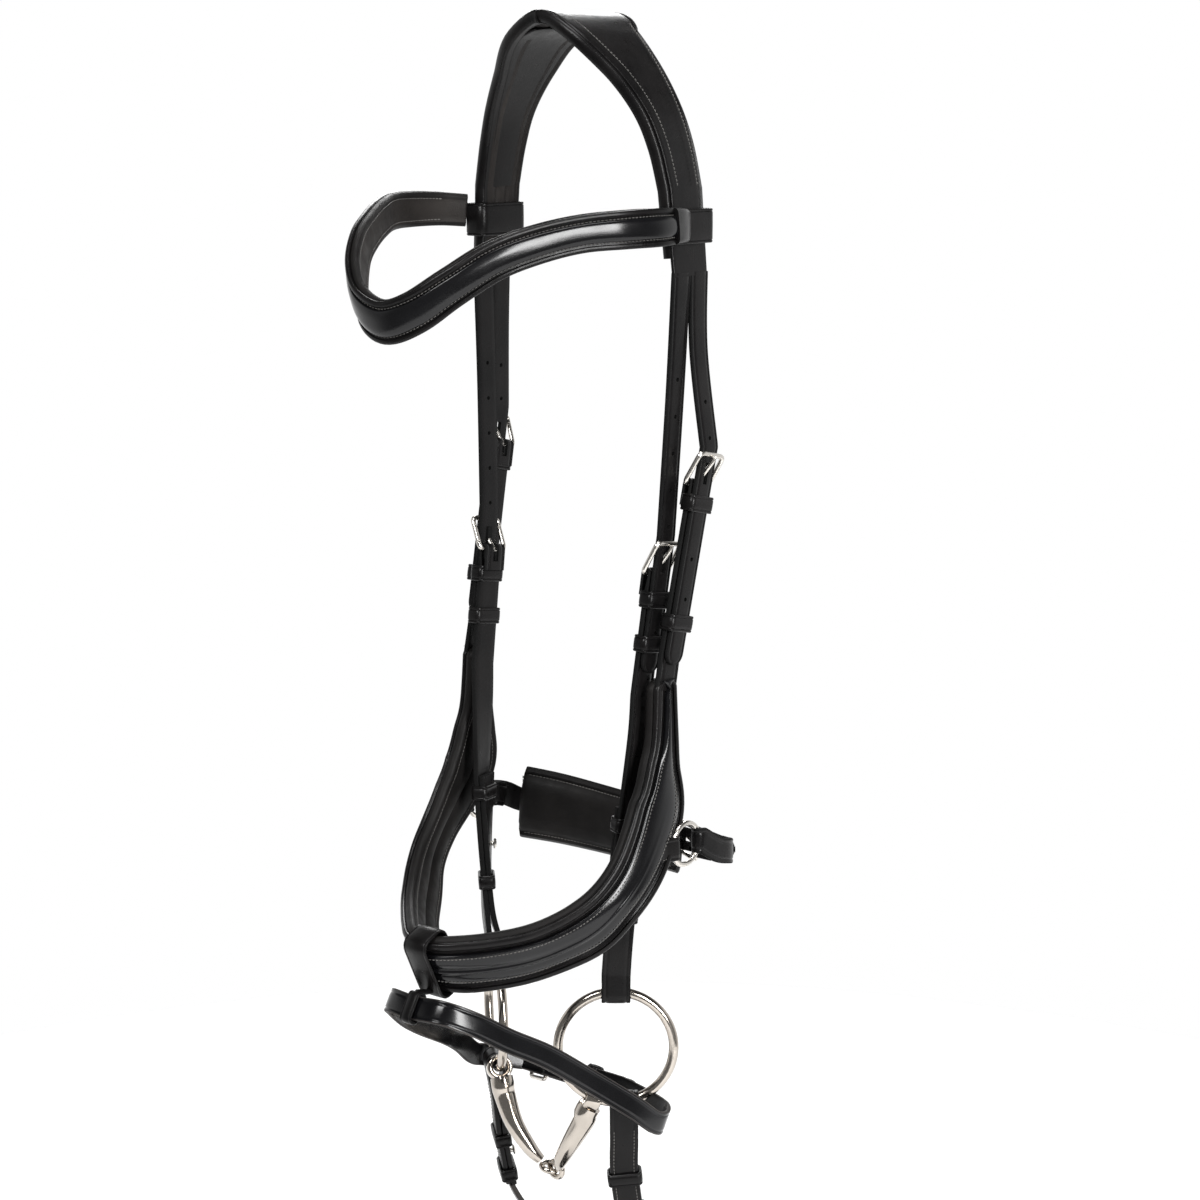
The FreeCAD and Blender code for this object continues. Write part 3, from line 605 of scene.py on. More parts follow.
def cut_slots(piece, slots):
    """Rectangular slots through a strap: (axes, x half, y low, y high, z low, z high)."""
    work = bmesh.new()
    for axes, x, y0, y1, z0, z1 in slots:
        corners = [work.verts.new(at(placed(axes, sx, y, z)))
                   for z in (z0, z1) for sx, y in ((-x, y0), (x, y0), (x, y1), (-x, y1))]
        for k in range(4):
            n = (k + 1) % 4
            work.faces.new([corners[k], corners[n], corners[4 + n], corners[4 + k]])
        work.faces.new(corners[:4])
        work.faces.new(corners[4:])
    bmesh.ops.recalc_face_normals(work, faces=work.faces)
    apply_cut(piece, work)


def fold_stations(axes, width):
    """The strap's outer face where it comes up behind the hinge bar and over it."""
    stations = []
    for y in (-12.0, -8.0, -4.0):
        stations.append((placed(axes, 0, y, -6.0), axes[1], width))
    for turn in range(-90, 91, 15):
        angle = math.radians(turn)
        point = placed(axes, 0, BAR_DROP * math.cos(angle), -BAR_DROP + BAR_DROP * math.sin(angle))
        stations.append((point, axes[1], width))
    return stations


def folded_strap(name, axes, route, width, body, mirror, materials, ply=PLY, crease=0.3,
                 inset=2.2):
    """A strap that is folded round a buckle's hinge bar and runs on along its route."""
    fold = fold_stations(axes, width)
    stations = fold + route
    thin = len(fold) / len(stations)
    full = min(1.0, (len(fold) + 5) / len(stations))

    def section(share):
        if share < thin:
            thick = FOLD_PLY
        else:
            thick = ply - (ply - FOLD_PLY) * max(0.0, (full - share) / (full - thin))
        return strap_section(-thick, 0, 0.7, crease, inset)

    piece = sweep(name, stations, section, body, materials, mirror=mirror)
    cut_slots(piece, [(mirror_axes(axes) if mirror else axes, *FOLD_SLOT)])
    return piece


def mirror_axes(axes):
    return tuple(mirrored(v) for v in axes)


def buckle(name, axes, width, body, mirror, tongue_body, tongue_name, high=4.5):
    """Frame with a round-cornered top and a tongue that lies over the top bar."""
    half = width / 2 + BUCKLE_WAY + BUCKLE_WIRE
    bar = -BAR_DROP
    top = [placed(axes, x, y, z) for x, y, z in
           ((-half, FRAME_RISE, high), (half, FRAME_RISE, high))]
    foot = [placed(axes, half, 0, bar), placed(axes, -half, 0, bar)]
    path = rounded_path(foot + top, BUCKLE_CORNER, 8)
    frame_piece = tube(name, path, 1.38, body, [STEEL], closed=True, mirror=mirror,
                       across=axes[3] + axes[2] * 0.3)
    line = []
    for share, _ in TONGUE_SHAPE:
        y = math.cos(TONGUE_LEAN) * TONGUE_REACH * share
        z = bar + math.sin(TONGUE_LEAN) * TONGUE_REACH * share - (0.5 * max(0, share - 0.8) / 0.2)
        line.append(placed(axes, 0, y, z))
    radii = [radius for _, radius in TONGUE_SHAPE]
    tongue = tube(tongue_name, line, radii, tongue_body, [STEEL], mirror=mirror, across=axes[1])
    return frame_piece, tongue


def lone_buckle(word, axes, width, body):
    """A buckle that the bridle has only once, standing for its own frame and tongue nodes."""
    node = word + "_tongue"
    frame_piece, tongue = buckle(word + "_buckle", axes, width, body, False, node, node + "_piece")
    replaced(frame_piece, "buckle_steel", word + "_buckle_frame")
    replaced(tongue, "buckle_steel", node)
    return frame_piece, tongue


def stud(name, base, out, body, mirror):
    """A hook stud: a neck with a round, slightly domed head."""
    line = [base + out * height for height, _ in HOOK_STUD]
    return tube(name, line, [radius for _, radius in HOOK_STUD], body, [STEEL], mirror=mirror,
                across=UPWARD)


SIDES = ((False, "near"), (True, "off"))

# ---------------------------------------------------------------- headpiece

HEADPIECE = [
    hung(0, 0, -2.9, 66),
    hung(20.5, -3, -12, 56),
    hung(38.5, 1, -30.5, 43.5),
    hung(52.5, 4, -51, 35.5),
    hung(60.5, 6, -71, 32.5),
    hung(65.8, 7, -93, 31),
]
HEADPIECE_END = hung(69.5, 8, -138, 29)
SPLIT_Y = (0.9, 15.5)

NOSE_BUCKLE = V(74.2, 14.0, -250)
NOSE_DOWN = unit(V(-0.035, -0.215, -0.976))
NOSE_LIFT = NOSE_DOWN * -10
CHEEK_BUCKLE = V(62.0, -6.0, -297)
CHEEK_DOWN = unit(V(-0.035, -0.15, -0.98))
NOSE_KEEPER, NOSE_RUNNER, NOSE_BILLET = 10.0, 75.0, 98.0
CHEEK_KEEPER, CHEEK_RUNNER, CHEEK_BILLET = 14.0, 38.0, 54.0


def nose_buckle(off):
    """The off noseband buckle sits one step higher."""
    return NOSE_BUCKLE + NOSE_LIFT if off else NOSE_BUCKLE


def billet_route(split_y, buckle_at, down, length):
    """A billet's stations from the headpiece's split to its tip, and its outward direction."""
    lift = BILLET_PLY / 2 + LAY
    out = unit(down.cross(square_to(Y_AXIS, down)))
    start = V(HEADPIECE_END[0].x + HEADPIECE_PLY / 2, split_y, HEADPIECE_END[0].z + 2.0)
    above = buckle_at + out * lift - down * 21
    lean = V(-1.5, -2.0, 0) if split_y > SPLIT_Y[0] else V(0, 0.6, 0)
    middle = start * 0.55 + above * 0.45 + lean
    wide = BILLET + 0.6
    gentle = smooth([(start, Y_AXIS, wide), (middle, Y_AXIS, BILLET), (above, Y_AXIS, BILLET)])
    tip = [(buckle_at + out * lift + down * length, Y_AXIS, BILLET)]
    route = gentle[:-1] + straight(gentle[-1:] + tip)
    return tapered(extended(route, 9.0, 0.6), 7.5), out


def make_headpiece():
    band = (flipped([HEADPIECE_END]) + smooth(flipped(HEADPIECE)[:-1] + HEADPIECE)
            + [HEADPIECE_END])
    hem = hung(68.5, 8, -128, 29)
    lining = straight(flipped([hem]) + band[1:-1] + [hem])
    pad = sweep("headpiece_padding_soft", lining,
                lining_section(-4.6, 2.5, 2.5, 3, 1.5, 0.9, 0.0), "headpiece", [BLACK, LINING])
    replaced(pad, "soft_lining", "headpiece_padding")
    middle = [(p, a, w - 7.2 if p.z > -116 else w - 0.6) for p, a, w in straight(band)]
    leather_piece = sweep("headpiece_strap", middle, strap_section(0.2, HEADPIECE_PLY, 0.9, 0, 3.0),
                          "headpiece", [BLACK, BLACK])
    replaced(leather_piece, "black_leather", "headpiece_leather")

    half = smooth(HEADPIECE)
    raised = [s for s in half if s[0].x > 6.0 and s[0].z > -94]
    for off, word in SIDES:
        top = tapered(extended(list(reversed(raised)), 9.0, 0.8), 8.0)
        piece = sweep("headpiece_overlay_" + word, top,
                      narrowed(strap_section(HEADPIECE_PLY, 4.3, 0.9, 0, 2.0, 0.35), 4.6),
                      "headpiece", [BLACK, BLACK], mirror=not off)
        for a in (1, -1):
            stitches(f"headpiece_stitches_{word}_{'front' if a < 0 else 'rear'}",
                     raised[3:], a, -a * 7.2, 4.45, "headpiece", mirror=off)
    grouped("headpiece_overlays")

    for off, word in SIDES:
        for kind, split_y, place, down, length, heights in (
                ("front", SPLIT_Y[0], CHEEK_BUCKLE, CHEEK_DOWN, CHEEK_BILLET,
                 (26, 46, 66, 86, 106, -32)),
                ("rear", SPLIT_Y[1], nose_buckle(off), NOSE_DOWN, NOSE_BILLET,
                 (26, 46, -40, -62))):
            route, out = billet_route(split_y, place, down, length)
            section = strap_section(-BILLET_PLY / 2, BILLET_PLY / 2, 0.7, 0.22, 1.7)
            piece = sweep(f"billet_{kind}_{word}", route, section, "headpiece", [BLACK, BLACK],
                          mirror=off)
            axes = local_axes(place, down)
            holes = []
            for height in heights:
                point = placed(axes, 0, height, BILLET_PLY / 2)
                near = min(route, key=lambda s: abs(s[0].z - point.z))[0]
                point = V(near.x, near.y, point.z)
                holes.append((mirrored(point), mirrored(out)) if off else (point, out))
            cut_holes(piece, holes, 1.15)
            slot_axes = mirror_axes(axes) if off else axes
            cut_slots(piece, [(slot_axes, *TONGUE_SLOT)])
    grouped("headpiece_billets")


# ---------------------------------------------------------------- browband

BROW_BAND = [
    between((76.5, -7, -102), (76.5, -7, -120)),
    between((84, -20, -101), (85, -20, -119.5)),
    between((88, -40, -100.5), (89.5, -40, -120)),
    between((84, -60, -101), (82.5, -60, -120.5)),
    between((72, -80, -103), (70, -80, -122)),
    between((60, -100, -107.5), (58.5, -100, -127)),
    between((48.5, -120, -115), (46, -119, -135)),
    between((35, -138, -128), (32, -134, -148)),
    between((19, -149, -140), (17, -144, -161)),
]
BROW_FRONT = between((0, -152, -145), (0, -147, -167))
BROW_TILT = 0.05
BROW_LOOP_AT = V(67.4, 7.5, -112)
BROW_LOOP_TALL = 18.0


def make_browband():
    off_side = [(p - V(0, 0, p.x * BROW_TILT), a, w) for p, a, w in flipped(BROW_BAND)]
    full = smooth(BROW_BAND + [BROW_FRONT] + off_side)
    band = full[5:-5]
    pad = sweep("browband_padding_soft", full, lining_section(-4.6, 0.3, 2.4, 1, 0.8, 0.0),
                "browband", [MATTE, LINING])
    replaced(pad, "soft_lining", "browband_padding")
    base = sweep("browband_base", band, rolled_edges(1.7, 0.1, 3.0, 1.5, 3.6), "browband", [BLACK])
    replaced(base, "black_leather", "browband_leather")
    heights = [3.3 + 1.1 * (1 - abs(1 - k / 8) ** 3) for k in range(17)]
    panel = panel_section(4.4, 1.2, 3.1, heights)
    raised = sweep("browband_panel", band[1:-1], panel, "browband", [GLAZED], sharp=120)
    replaced(raised, "glazed_leather", "browband_overlay")
    for a, word in ((1, "lower"), (-1, "upper")):
        stitches("browband_stitches_" + word, band[1:-1], a, -a * 3.9, 1.9, "browband")
        stitches("browband_inner_stitches_" + word, band[1:-1], a, -a * 3.6, -4.3, "browband")
    near_end = [(p, a, w - 0.6) for p, a, w in full[:11]]
    far_end = [(p, a, w - 0.6) for p, a, w in full[-11:]]
    for ending, word in ((near_end, "near"), (far_end, "off")):
        sweep("browband_end_" + word, ending, strap_section(-0.4, 4.9, 2.2, 0, 2.0, 0.3),
                           "browband", [BLACK, BLACK])
    for off, word in SIDES:
        axes = local_axes(BROW_LOOP_AT, DOWNWARD)
        loop_band("browband_loop_" + word, axes, 31 / 2 + 1.2, -5.9, 5.2,
                               BROW_LOOP_TALL, 1.7, "browband", [BLACK], off, 0.25, 3.2)
    grouped("browband_loops")


# ---------------------------------------------------------------- noseband

NOSE_BAND = [
    between((68.5, -18.5, -353), (69.5, -2, -354)),
    between((69.2, -21, -385), (70, -0.5, -386)),
    between((69.8, -26.5, -401), (69.5, 1.5, -404)),
    between((69.8, -34, -418), (71.5, 3, -427)),
    between((70.2, -43, -433.5), (75.5, -10.5, -447)),
    between((69.5, -53, -448.5), (77.5, -25, -463)),
    between((66, -65, -461.5), (74.5, -38, -477)),
    between((58.5, -77.5, -471.8), (67, -49, -491)),
    between((48.5, -90, -478.8), (56, -64, -500.5)),
    between((37, -103, -482.8), (41, -79, -509)),
    between((24, -116, -484), (24, -98, -514)),
    between((12, -125.5, -484.5), (12, -110, -515)),
]
NOSE_FRONT = between((0, -129, -485), (0, -115, -515))


def rounded_ends(stations, length):
    """The stations narrowed to a rounded tip at both ends."""
    finish = tapered(extended(stations, length, 0.9), length)
    start = extended(list(reversed(finish)), length, 0.9)
    return tapered(list(reversed(start)), length, True)


def panel_section(inset, foot, shoulder, heights):
    """A raised panel's section: steep sides with rounded shoulders, and heights across its top."""
    side = [(1, foot), (1, shoulder - 1.0), (0.995, shoulder - 0.35), (0.975, shoulder)]
    points = [(a, -inset * a, h, 0) for a, h in side]
    count = len(heights)
    for k, height in enumerate(heights):
        a = 0.93 - 1.86 * k / (count - 1)
        points.append((a, -inset * a, height, 0))
    points += [(-a, inset * a, h, 0) for a, h in reversed(side)]
    return points


def nose_panel(share):
    """The raised panel: a dome at the cheeks that grows a ridge towards the front."""
    front = max(0.0, 1 - abs(share - 0.5) / 0.34)
    ridge = front * front * (3 - 2 * front)
    heights = []
    for k in range(25):
        u = 1 - k / 12
        dome = 3.5 + 1.5 * (1 - abs(u) ** 2.4)
        valley = 1.5 * ridge * math.exp(-((u - 0.1) / 0.42) ** 2)
        crest = 1.75 * ridge * math.exp(-((u - 0.1) / 0.11) ** 2)
        heights.append(dome - valley + crest)
    return panel_section(7.5, 1.2, 3.3, heights)


def double_roll():
    """The base leather: a roll along each edge and a thin piping just inside it."""
    section = rolled_edges(2.3, -0.4, 3.2, 1.4, 4.2)
    pipe = [(1, -4.6, 2.1, 0), (1, -5.3, 2.4, 0), (1, -6.0, 2.0, 0), (1, -6.6, 1.4, 0)]
    place = next(i for i, s in enumerate(section) if s[0] == 0.4)
    back = [(-1, -b, h, k) for _, b, h, k in reversed(pipe)]
    return section[:place] + pipe + section[place:place + 3] + back + section[place + 3:]


def make_noseband():
    band = smooth(NOSE_BAND + [NOSE_FRONT] + flipped(NOSE_BAND))
    soft = lining_section(-6.0, 0.4, 3.0, 2, 1.6, 0.7)
    pad = sweep("noseband_padding_soft", rounded_ends(band, 6.0), soft, "headpiece", [MATTE, MATTE])
    replaced(pad, "soft_lining", "noseband_padding")
    base = sweep("noseband_base", rounded_ends(band, 5.0), double_roll(), "headpiece", [BLACK])
    replaced(base, "black_leather", "noseband_leather")
    panel = rounded_ends(band, 11.0)
    raised = sweep("noseband_panel_raised", panel, nose_panel, "headpiece", [GLAZED], sharp=120)
    replaced(raised, "glazed_leather", "noseband_panel")
    for a, word in ((1, "lower"), (-1, "upper")):
        stitches("noseband_stitches_" + word, band[5:-5], a, -a * 9.2, 4.05, "headpiece")
        stitches("noseband_inner_stitches_" + word, band[5:-5], a, -a * 4.6, -5.4, "headpiece")

    for off, word in SIDES:
        top = nose_buckle(off)
        axes = local_axes(top, NOSE_DOWN)
        join = NOSE_BAND[0][0] + V(2.4, 0, -6)
        points = [(top + NOSE_DOWN * 2, Y_AXIS, STRAP),
                  (top + NOSE_DOWN * (NOSE_BILLET - 6), Y_AXIS, STRAP), (join, Y_AXIS, STRAP)]
        route = straight(points)
        folded_strap("noseband_cheek_" + word, axes, route, STRAP, "headpiece", off,
                                   [BLACK, BLACK])
    grouped("noseband_cheek_straps")


# ---------------------------------------------------------------- cheekpieces

CHEEK_LOWER = [
    hung(59, -17, -385, STRAP, 4),
    hung(57, -21, -425, STRAP, 18),
    hung(54, -24.3, -465, STRAP, 36),
    hung(50.5, -25.8, -503, STRAP, 50),
]
WIRE_TOP = RING_AT + V(0, 0, RING)


def round_wire(centre, first, second, radius, start, end, across, width, step=15):
    """Stations on an arc about a wire, from one direction towards another."""
    stations = []
    for turn in range(start, end + 1, step):
        angle = math.radians(turn)
        point = centre + (first * math.cos(angle) + second * math.sin(angle)) * radius
        stations.append((point, across, width))
    return stations


def make_cheekpieces():
    """Both cheekpieces, folded at the buckle and again round the ring, and their keepers."""
    end = CHEEK_BUCKLE + CHEEK_DOWN * 66
    outer = [(CHEEK_BUCKLE + CHEEK_DOWN * 2, Y_AXIS, STRAP), (end, Y_AXIS, STRAP)]
    radius = 6.2
    above = WIRE_TOP + V(0, 0, 9)
    at_ring = (above + RING_FACE * (radius - 1.2), RING_ACROSS, STRAP)
    down_run = straight(outer)[:-1] + smooth([outer[1]] + CHEEK_LOWER + [at_ring])[:-1]
    arc = round_wire(WIRE_TOP, RING_FACE, DOWNWARD, radius, 0, 180, RING_ACROSS, STRAP)
    behind = []
    for point, across, width in reversed(CHEEK_LOWER[1:]):
        inward = V(-across.y, across.x, 0)
        behind.append((point + inward * (2 * PLY + LAY), across, width))
    back_start = (above - RING_FACE * (radius - 1.2), RING_ACROSS, STRAP)
    up_run = smooth([back_start] + behind)
    axes = local_axes(CHEEK_BUCKLE, CHEEK_DOWN)
    for off, word in SIDES:
        route = down_run + arc + up_run
        folded_strap("cheekpiece_" + word, axes, route, STRAP, "headpiece", off,
                                   [BLACK, BLACK])
    grouped("cheekpieces")

    stations = smooth(CHEEK_LOWER, 10.0)
    for off, word in SIDES:
        for number, height in (("upper", -438.0), ("lower", -486.0)):
            i = min(range(1, len(stations) - 1), key=lambda k: abs(stations[k][0].z - height))
            point, across, _ = stations[i]
            down = unit(stations[i + 1][0] - stations[i - 1][0])
            axes = local_axes(point, down, across)
            loop_band(f"cheekpiece_lower_keeper_{number}_{word}", axes,
                                     STRAP / 2 + LAY, -2 * PLY - LAY - LAY, LAY, 8.0, KEEPER_WALL,
                                     "headpiece", [BLACK], off, 0.2)
        point, across, _ = min(stations, key=lambda s: abs(s[0].z + 462))
        inward = V(-across.y, across.x, 0)
        stud("cheekpiece_stud_" + word, point + inward * (2 * PLY + LAY), inward,
                          "headpiece", off)
    grouped("cheekpiece_lower_keepers")
    grouped("cheekpiece_hook_studs")


def make_cheek_buckles():
    """The four cheek buckles with their keepers and runners."""
    for name, down, fixed, runner in (("noseband", NOSE_DOWN, NOSE_KEEPER, NOSE_RUNNER),
                                      ("cheekpiece", CHEEK_DOWN, CHEEK_KEEPER, CHEEK_RUNNER)):
        for off, word in SIDES:
            place = nose_buckle(off) if name == "noseband" else CHEEK_BUCKLE
            axes = local_axes(place, down)
            tongue_node = f"{name}_tongue_{word}"
            frame_piece, tongue = buckle(f"{name}_buckle_{word}", axes, STRAP, "headpiece", off,
                                         tongue_node, tongue_node + "_piece")
            replaced(tongue, "buckle_steel", tongue_node)
            for kind, drop in (("keeper", fixed), ("runner", runner)):
                loop_axes = local_axes(place + down * drop, down)
                node = f"{name}_runner_{word}"
                piece = loop_band(f"{name}_{kind}_{word}_band", loop_axes, STRAP / 2 + KEEPER_WAY,
                                  -PLY - KEEPER_WAY, BILLET_PLY + LAY + KEEPER_OVER, 9.0, KEEPER_WALL,
                                  "headpiece" if kind == "keeper" else node, [BLACK], off, 0.25)
                if kind == "keeper":
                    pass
                else:
                    replaced(piece, "black_leather", node)
        grouped(name + "_buckle_frames")
        grouped(name + "_keepers")


# ---------------------------------------------------------------- noseband rings, chin strap

CHIN_BUCKLE = V(48, 50, -462.5)
CHIN_NEAR = [
    (V(62, 50, -462), DOWNWARD, CHIN),
    (V(73, 47, -461), DOWNWARD, CHIN),
    (V(79.5, 38, -458.5), DOWNWARD, CHIN),
    (V(80.5, 26, -455), DOWNWARD, CHIN),
]
CHIN_TAIL = 71.0
CHIN_PLY = 2.6
CHIN_EYE = 4.1              # outer face of the strap round its ring's wire
PAD = [
    (V(36, 50, -463), DOWNWARD, 40.0),
    (V(10, 50.5, -462), DOWNWARD, 40.5),
    (V(-20, 48, -460), DOWNWARD, 41.5),
    (V(-48, 41, -457), DOWNWARD, 43.0),
    (V(-71, 31.5, -454.5), DOWNWARD, 44.0),
]
CHIN_OFF = (V(-79, 25, -450), DOWNWARD, CHIN)


def turned(stations):
    """The same stations with their cross direction turned over."""
    return [(p, a * -1, w) for p, a, w in stations]


def circle(centre, first, second, radius, count=96):
    points = []
    for k in range(count):
        angle = 2 * math.pi * k / count
        points.append(centre + (first * math.cos(angle) + second * math.sin(angle)) * radius)
    return points


def make_noseband_rings():
    front = SMALL_RING_AT - V(0, SMALL_RING, 0)
    for off, word in SIDES:
        ring = tube(f"noseband_ring_{word}_piece", circle(SMALL_RING_AT, Y_AXIS, UPWARD, SMALL_RING),
                    SMALL_WIRE, "noseband_ring_" + word, [STEEL], closed=True, mirror=off,
                    across=X_AXIS, segments=18)
        replaced(ring, "buckle_steel", "noseband_ring_" + word)
        outer = [(front + V(1.9, -y, 0), DOWNWARD, 13.0) for y in (12.0, 9.0, 6.0, 3.0)]
        arc = round_wire(front, X_AXIS, Y_AXIS, 4.0, 0, 180, DOWNWARD, 13.0)
        inner = [(front + V(-1.4 - 2.2, -y, 0), DOWNWARD, 13.0) for y in (3.0, 6.0)]
        # the tab comes rearward on the outside, so its cross direction points up
        route = turned(outer[:-1] + arc + inner)
        sweep("noseband_ring_tab_" + word, route, strap_section(-2.2, 0, 0.7, 0.2, 1.8),
                          "headpiece", [BLACK, BLACK], mirror=off)
        stitches("noseband_tab_stitches_" + word, outer[:3], 1, -2.2, 0.1, "headpiece", mirror=off)
    grouped("noseband_ring_tabs")


def pad_section(share):
    """A pillow whose horse side swells between its stitched borders and closes at both ends."""
    full = min(1.0, (min(share, 1 - share) / 0.10)) ** 0.5
    swell = -4.6 - 3.4 * full
    border = -3.6 - 0.7 * full
    near_border = [(-0.62, 0.0, swell + 0.7 * full), (-0.3, 0.0, swell + 0.1)]
    points = [(1, -2.6, -0.1), (0, 0, -0.1), (-1, 2.6, -0.1), (-1, 0.8, -0.6), (-1, 0, -1.9),
              (-1, 0.6, -3.2), (-1, 2.2, border - 0.2), (-1, 4.0, border + 0.5), (-1, 5.4, border - 0.9)]
    points += near_border + [(0, 0, swell)] + [(-a, b, h) for a, b, h in reversed(near_border)]
    points += [(1, -5.4, border - 0.9), (1, -4.0, border + 0.5), (1, -2.2, border - 0.2),
               (1, -0.6, -3.2), (1, 0, -1.9), (1, -0.8, -0.6)]
    return [(*p, 1 if p[2] < -3.3 else 0) for p in points]


def make_chin_strap():
    rear = SMALL_RING_AT + V(0, SMALL_RING, 0)
    axes = local_axes(CHIN_BUCKLE, X_AXIS, DOWNWARD)
    start = CHIN_BUCKLE + X_AXIS * 2
    to_ring = (rear + V(CHIN_EYE, 0, 0), DOWNWARD, CHIN)
    arc = round_wire(rear, X_AXIS, Y_AXIS * -1, CHIN_EYE, 0, 180, DOWNWARD, CHIN)
    back = [(rear + V(-CHIN_EYE + 2.6, 8, -4), DOWNWARD, CHIN),
            (rear + V(-CHIN_EYE + 3.6, 16, -8), DOWNWARD, CHIN)]
    route = [(start, DOWNWARD, CHIN)] + smooth(CHIN_NEAR + [to_ring])[:-1] + arc + smooth(back)
    near = folded_strap("chin_strap_near_piece", axes, route, CHIN, "chin_strap", False,
                        [BLACK, BLACK], ply=CHIN_PLY)
    replaced(near, "black_leather", "chin_strap_near")

    lift = V(0, LAY, 0)
    tail = [(V(x, CHIN_BUCKLE.y, CHIN_BUCKLE.z) + lift, DOWNWARD, CHIN - 0.8)
            for x in (CHIN_TAIL, 66, 60, 55, 50, 45, 40)]
    off_rear = mirrored(rear)
    inner = CHIN_EYE - CHIN_PLY
    along_pad = [(p + lift / 3, a, CHIN) for p, a, _ in PAD[1:]]
    off_eye = (off_rear - V(inner, 0, 0), DOWNWARD, CHIN)
    arc = round_wire(off_rear, X_AXIS * -1, Y_AXIS * -1, inner, 0, 180, DOWNWARD, CHIN)
    back = [(off_rear + V(inner - 1.0, 6, -2), DOWNWARD, CHIN)]
    run = tapered(extended(tail[::-1], 8.0, 0.6), 7.0)[::-1]
    route = turned(run + smooth(along_pad + [CHIN_OFF, off_eye])[:-1] + arc + back)
    off_strap = sweep("chin_strap_off_piece", route, strap_section(0, CHIN_PLY, 0.7, 0.3, 2.0),
                      "chin_strap", [BLACK, BLACK])
    cut_slots(off_strap, [(axes, *TONGUE_SLOT)])
    cut_holes(off_strap, [(CHIN_BUCKLE + V(-x, 1.0, 0), Y_AXIS) for x in (28, 42)])
    replaced(off_strap, "black_leather", "chin_strap_off")

    pad_route = turned(smooth(PAD))
    pad = sweep("chin_pad_soft", rounded_ends(pad_route, 2.0), pad_section, "chin_strap", [BLACK, MATTE])
    replaced(pad, "soft_lining", "chin_pad")
    inset = [(p, a, w) for p, a, w in pad_route[2:-2]]
    for a, word in ((1, "lower"), (-1, "upper")):
        stitches("chin_pad_stitches_" + word, inset, a, -a * 4.2, -4.35, "chin_strap")
    for place, word in ((pad_route[2], "near"), (pad_route[-3], "off")):
        point, across, width = place
        inward = V(0, -3.9, 0)
        column = [(point + inward + across * w, X_AXIS, 4.0)
                  for w in (-width / 2 + 4, 0, width / 2 - 4)]
        stitches("chin_pad_end_stitches_" + word, straight(column), 0, 0, 0.1, "chin_strap")

    lone_buckle("chin", axes, CHIN, "chin_strap")


# ---------------------------------------------------------------- flash

FLASH_CROSS = unit(V(0, -0.53, -0.848))
FLASH_OUT = unit(V(0, 0.848, -0.53))
FLASH_BUCKLE = V(-30, 11.5, -605)
FLASH_TILT = 0.05
FLASH_HALF = [
    (48, 7.5, -604.5),
    (61, 3, -605),
    (68.5, -6, -605),
    (69.5, -16, -601),
    (66, -31, -588.5),
    (55.5, -53, -571),
    (47, -80, -551),
    (39, -102, -538),
    (31, -121, -527),
    (19, -134.5, -521.5),
]
FLASH_FRONT = V(0, -137, -520)
FLASH_RISE = 3.0            # how much higher the near run leaves the loop
FLASH_SAG = 8.5             # how much lower the off run hangs ahead of the bit
FLASH_SAG_END = -40.0       # where that sag ends, and its length, along Y
FLASH_SAG_LONG = 95.0
FLASH_HOLES = (385, 430, 472)       # millimetres along the strap from its buckle


def along_route(stations, distance):
    """The point and direction this far along a route."""
    travelled = 0.0
    for (p, _, _), (q, _, _) in zip(stations, stations[1:]):
        step = (q - p).length
        if travelled + step >= distance:
            return p.lerp(q, (distance - travelled) / step), unit(q - p)
        travelled += step
    return stations[-1][0], X_AXIS


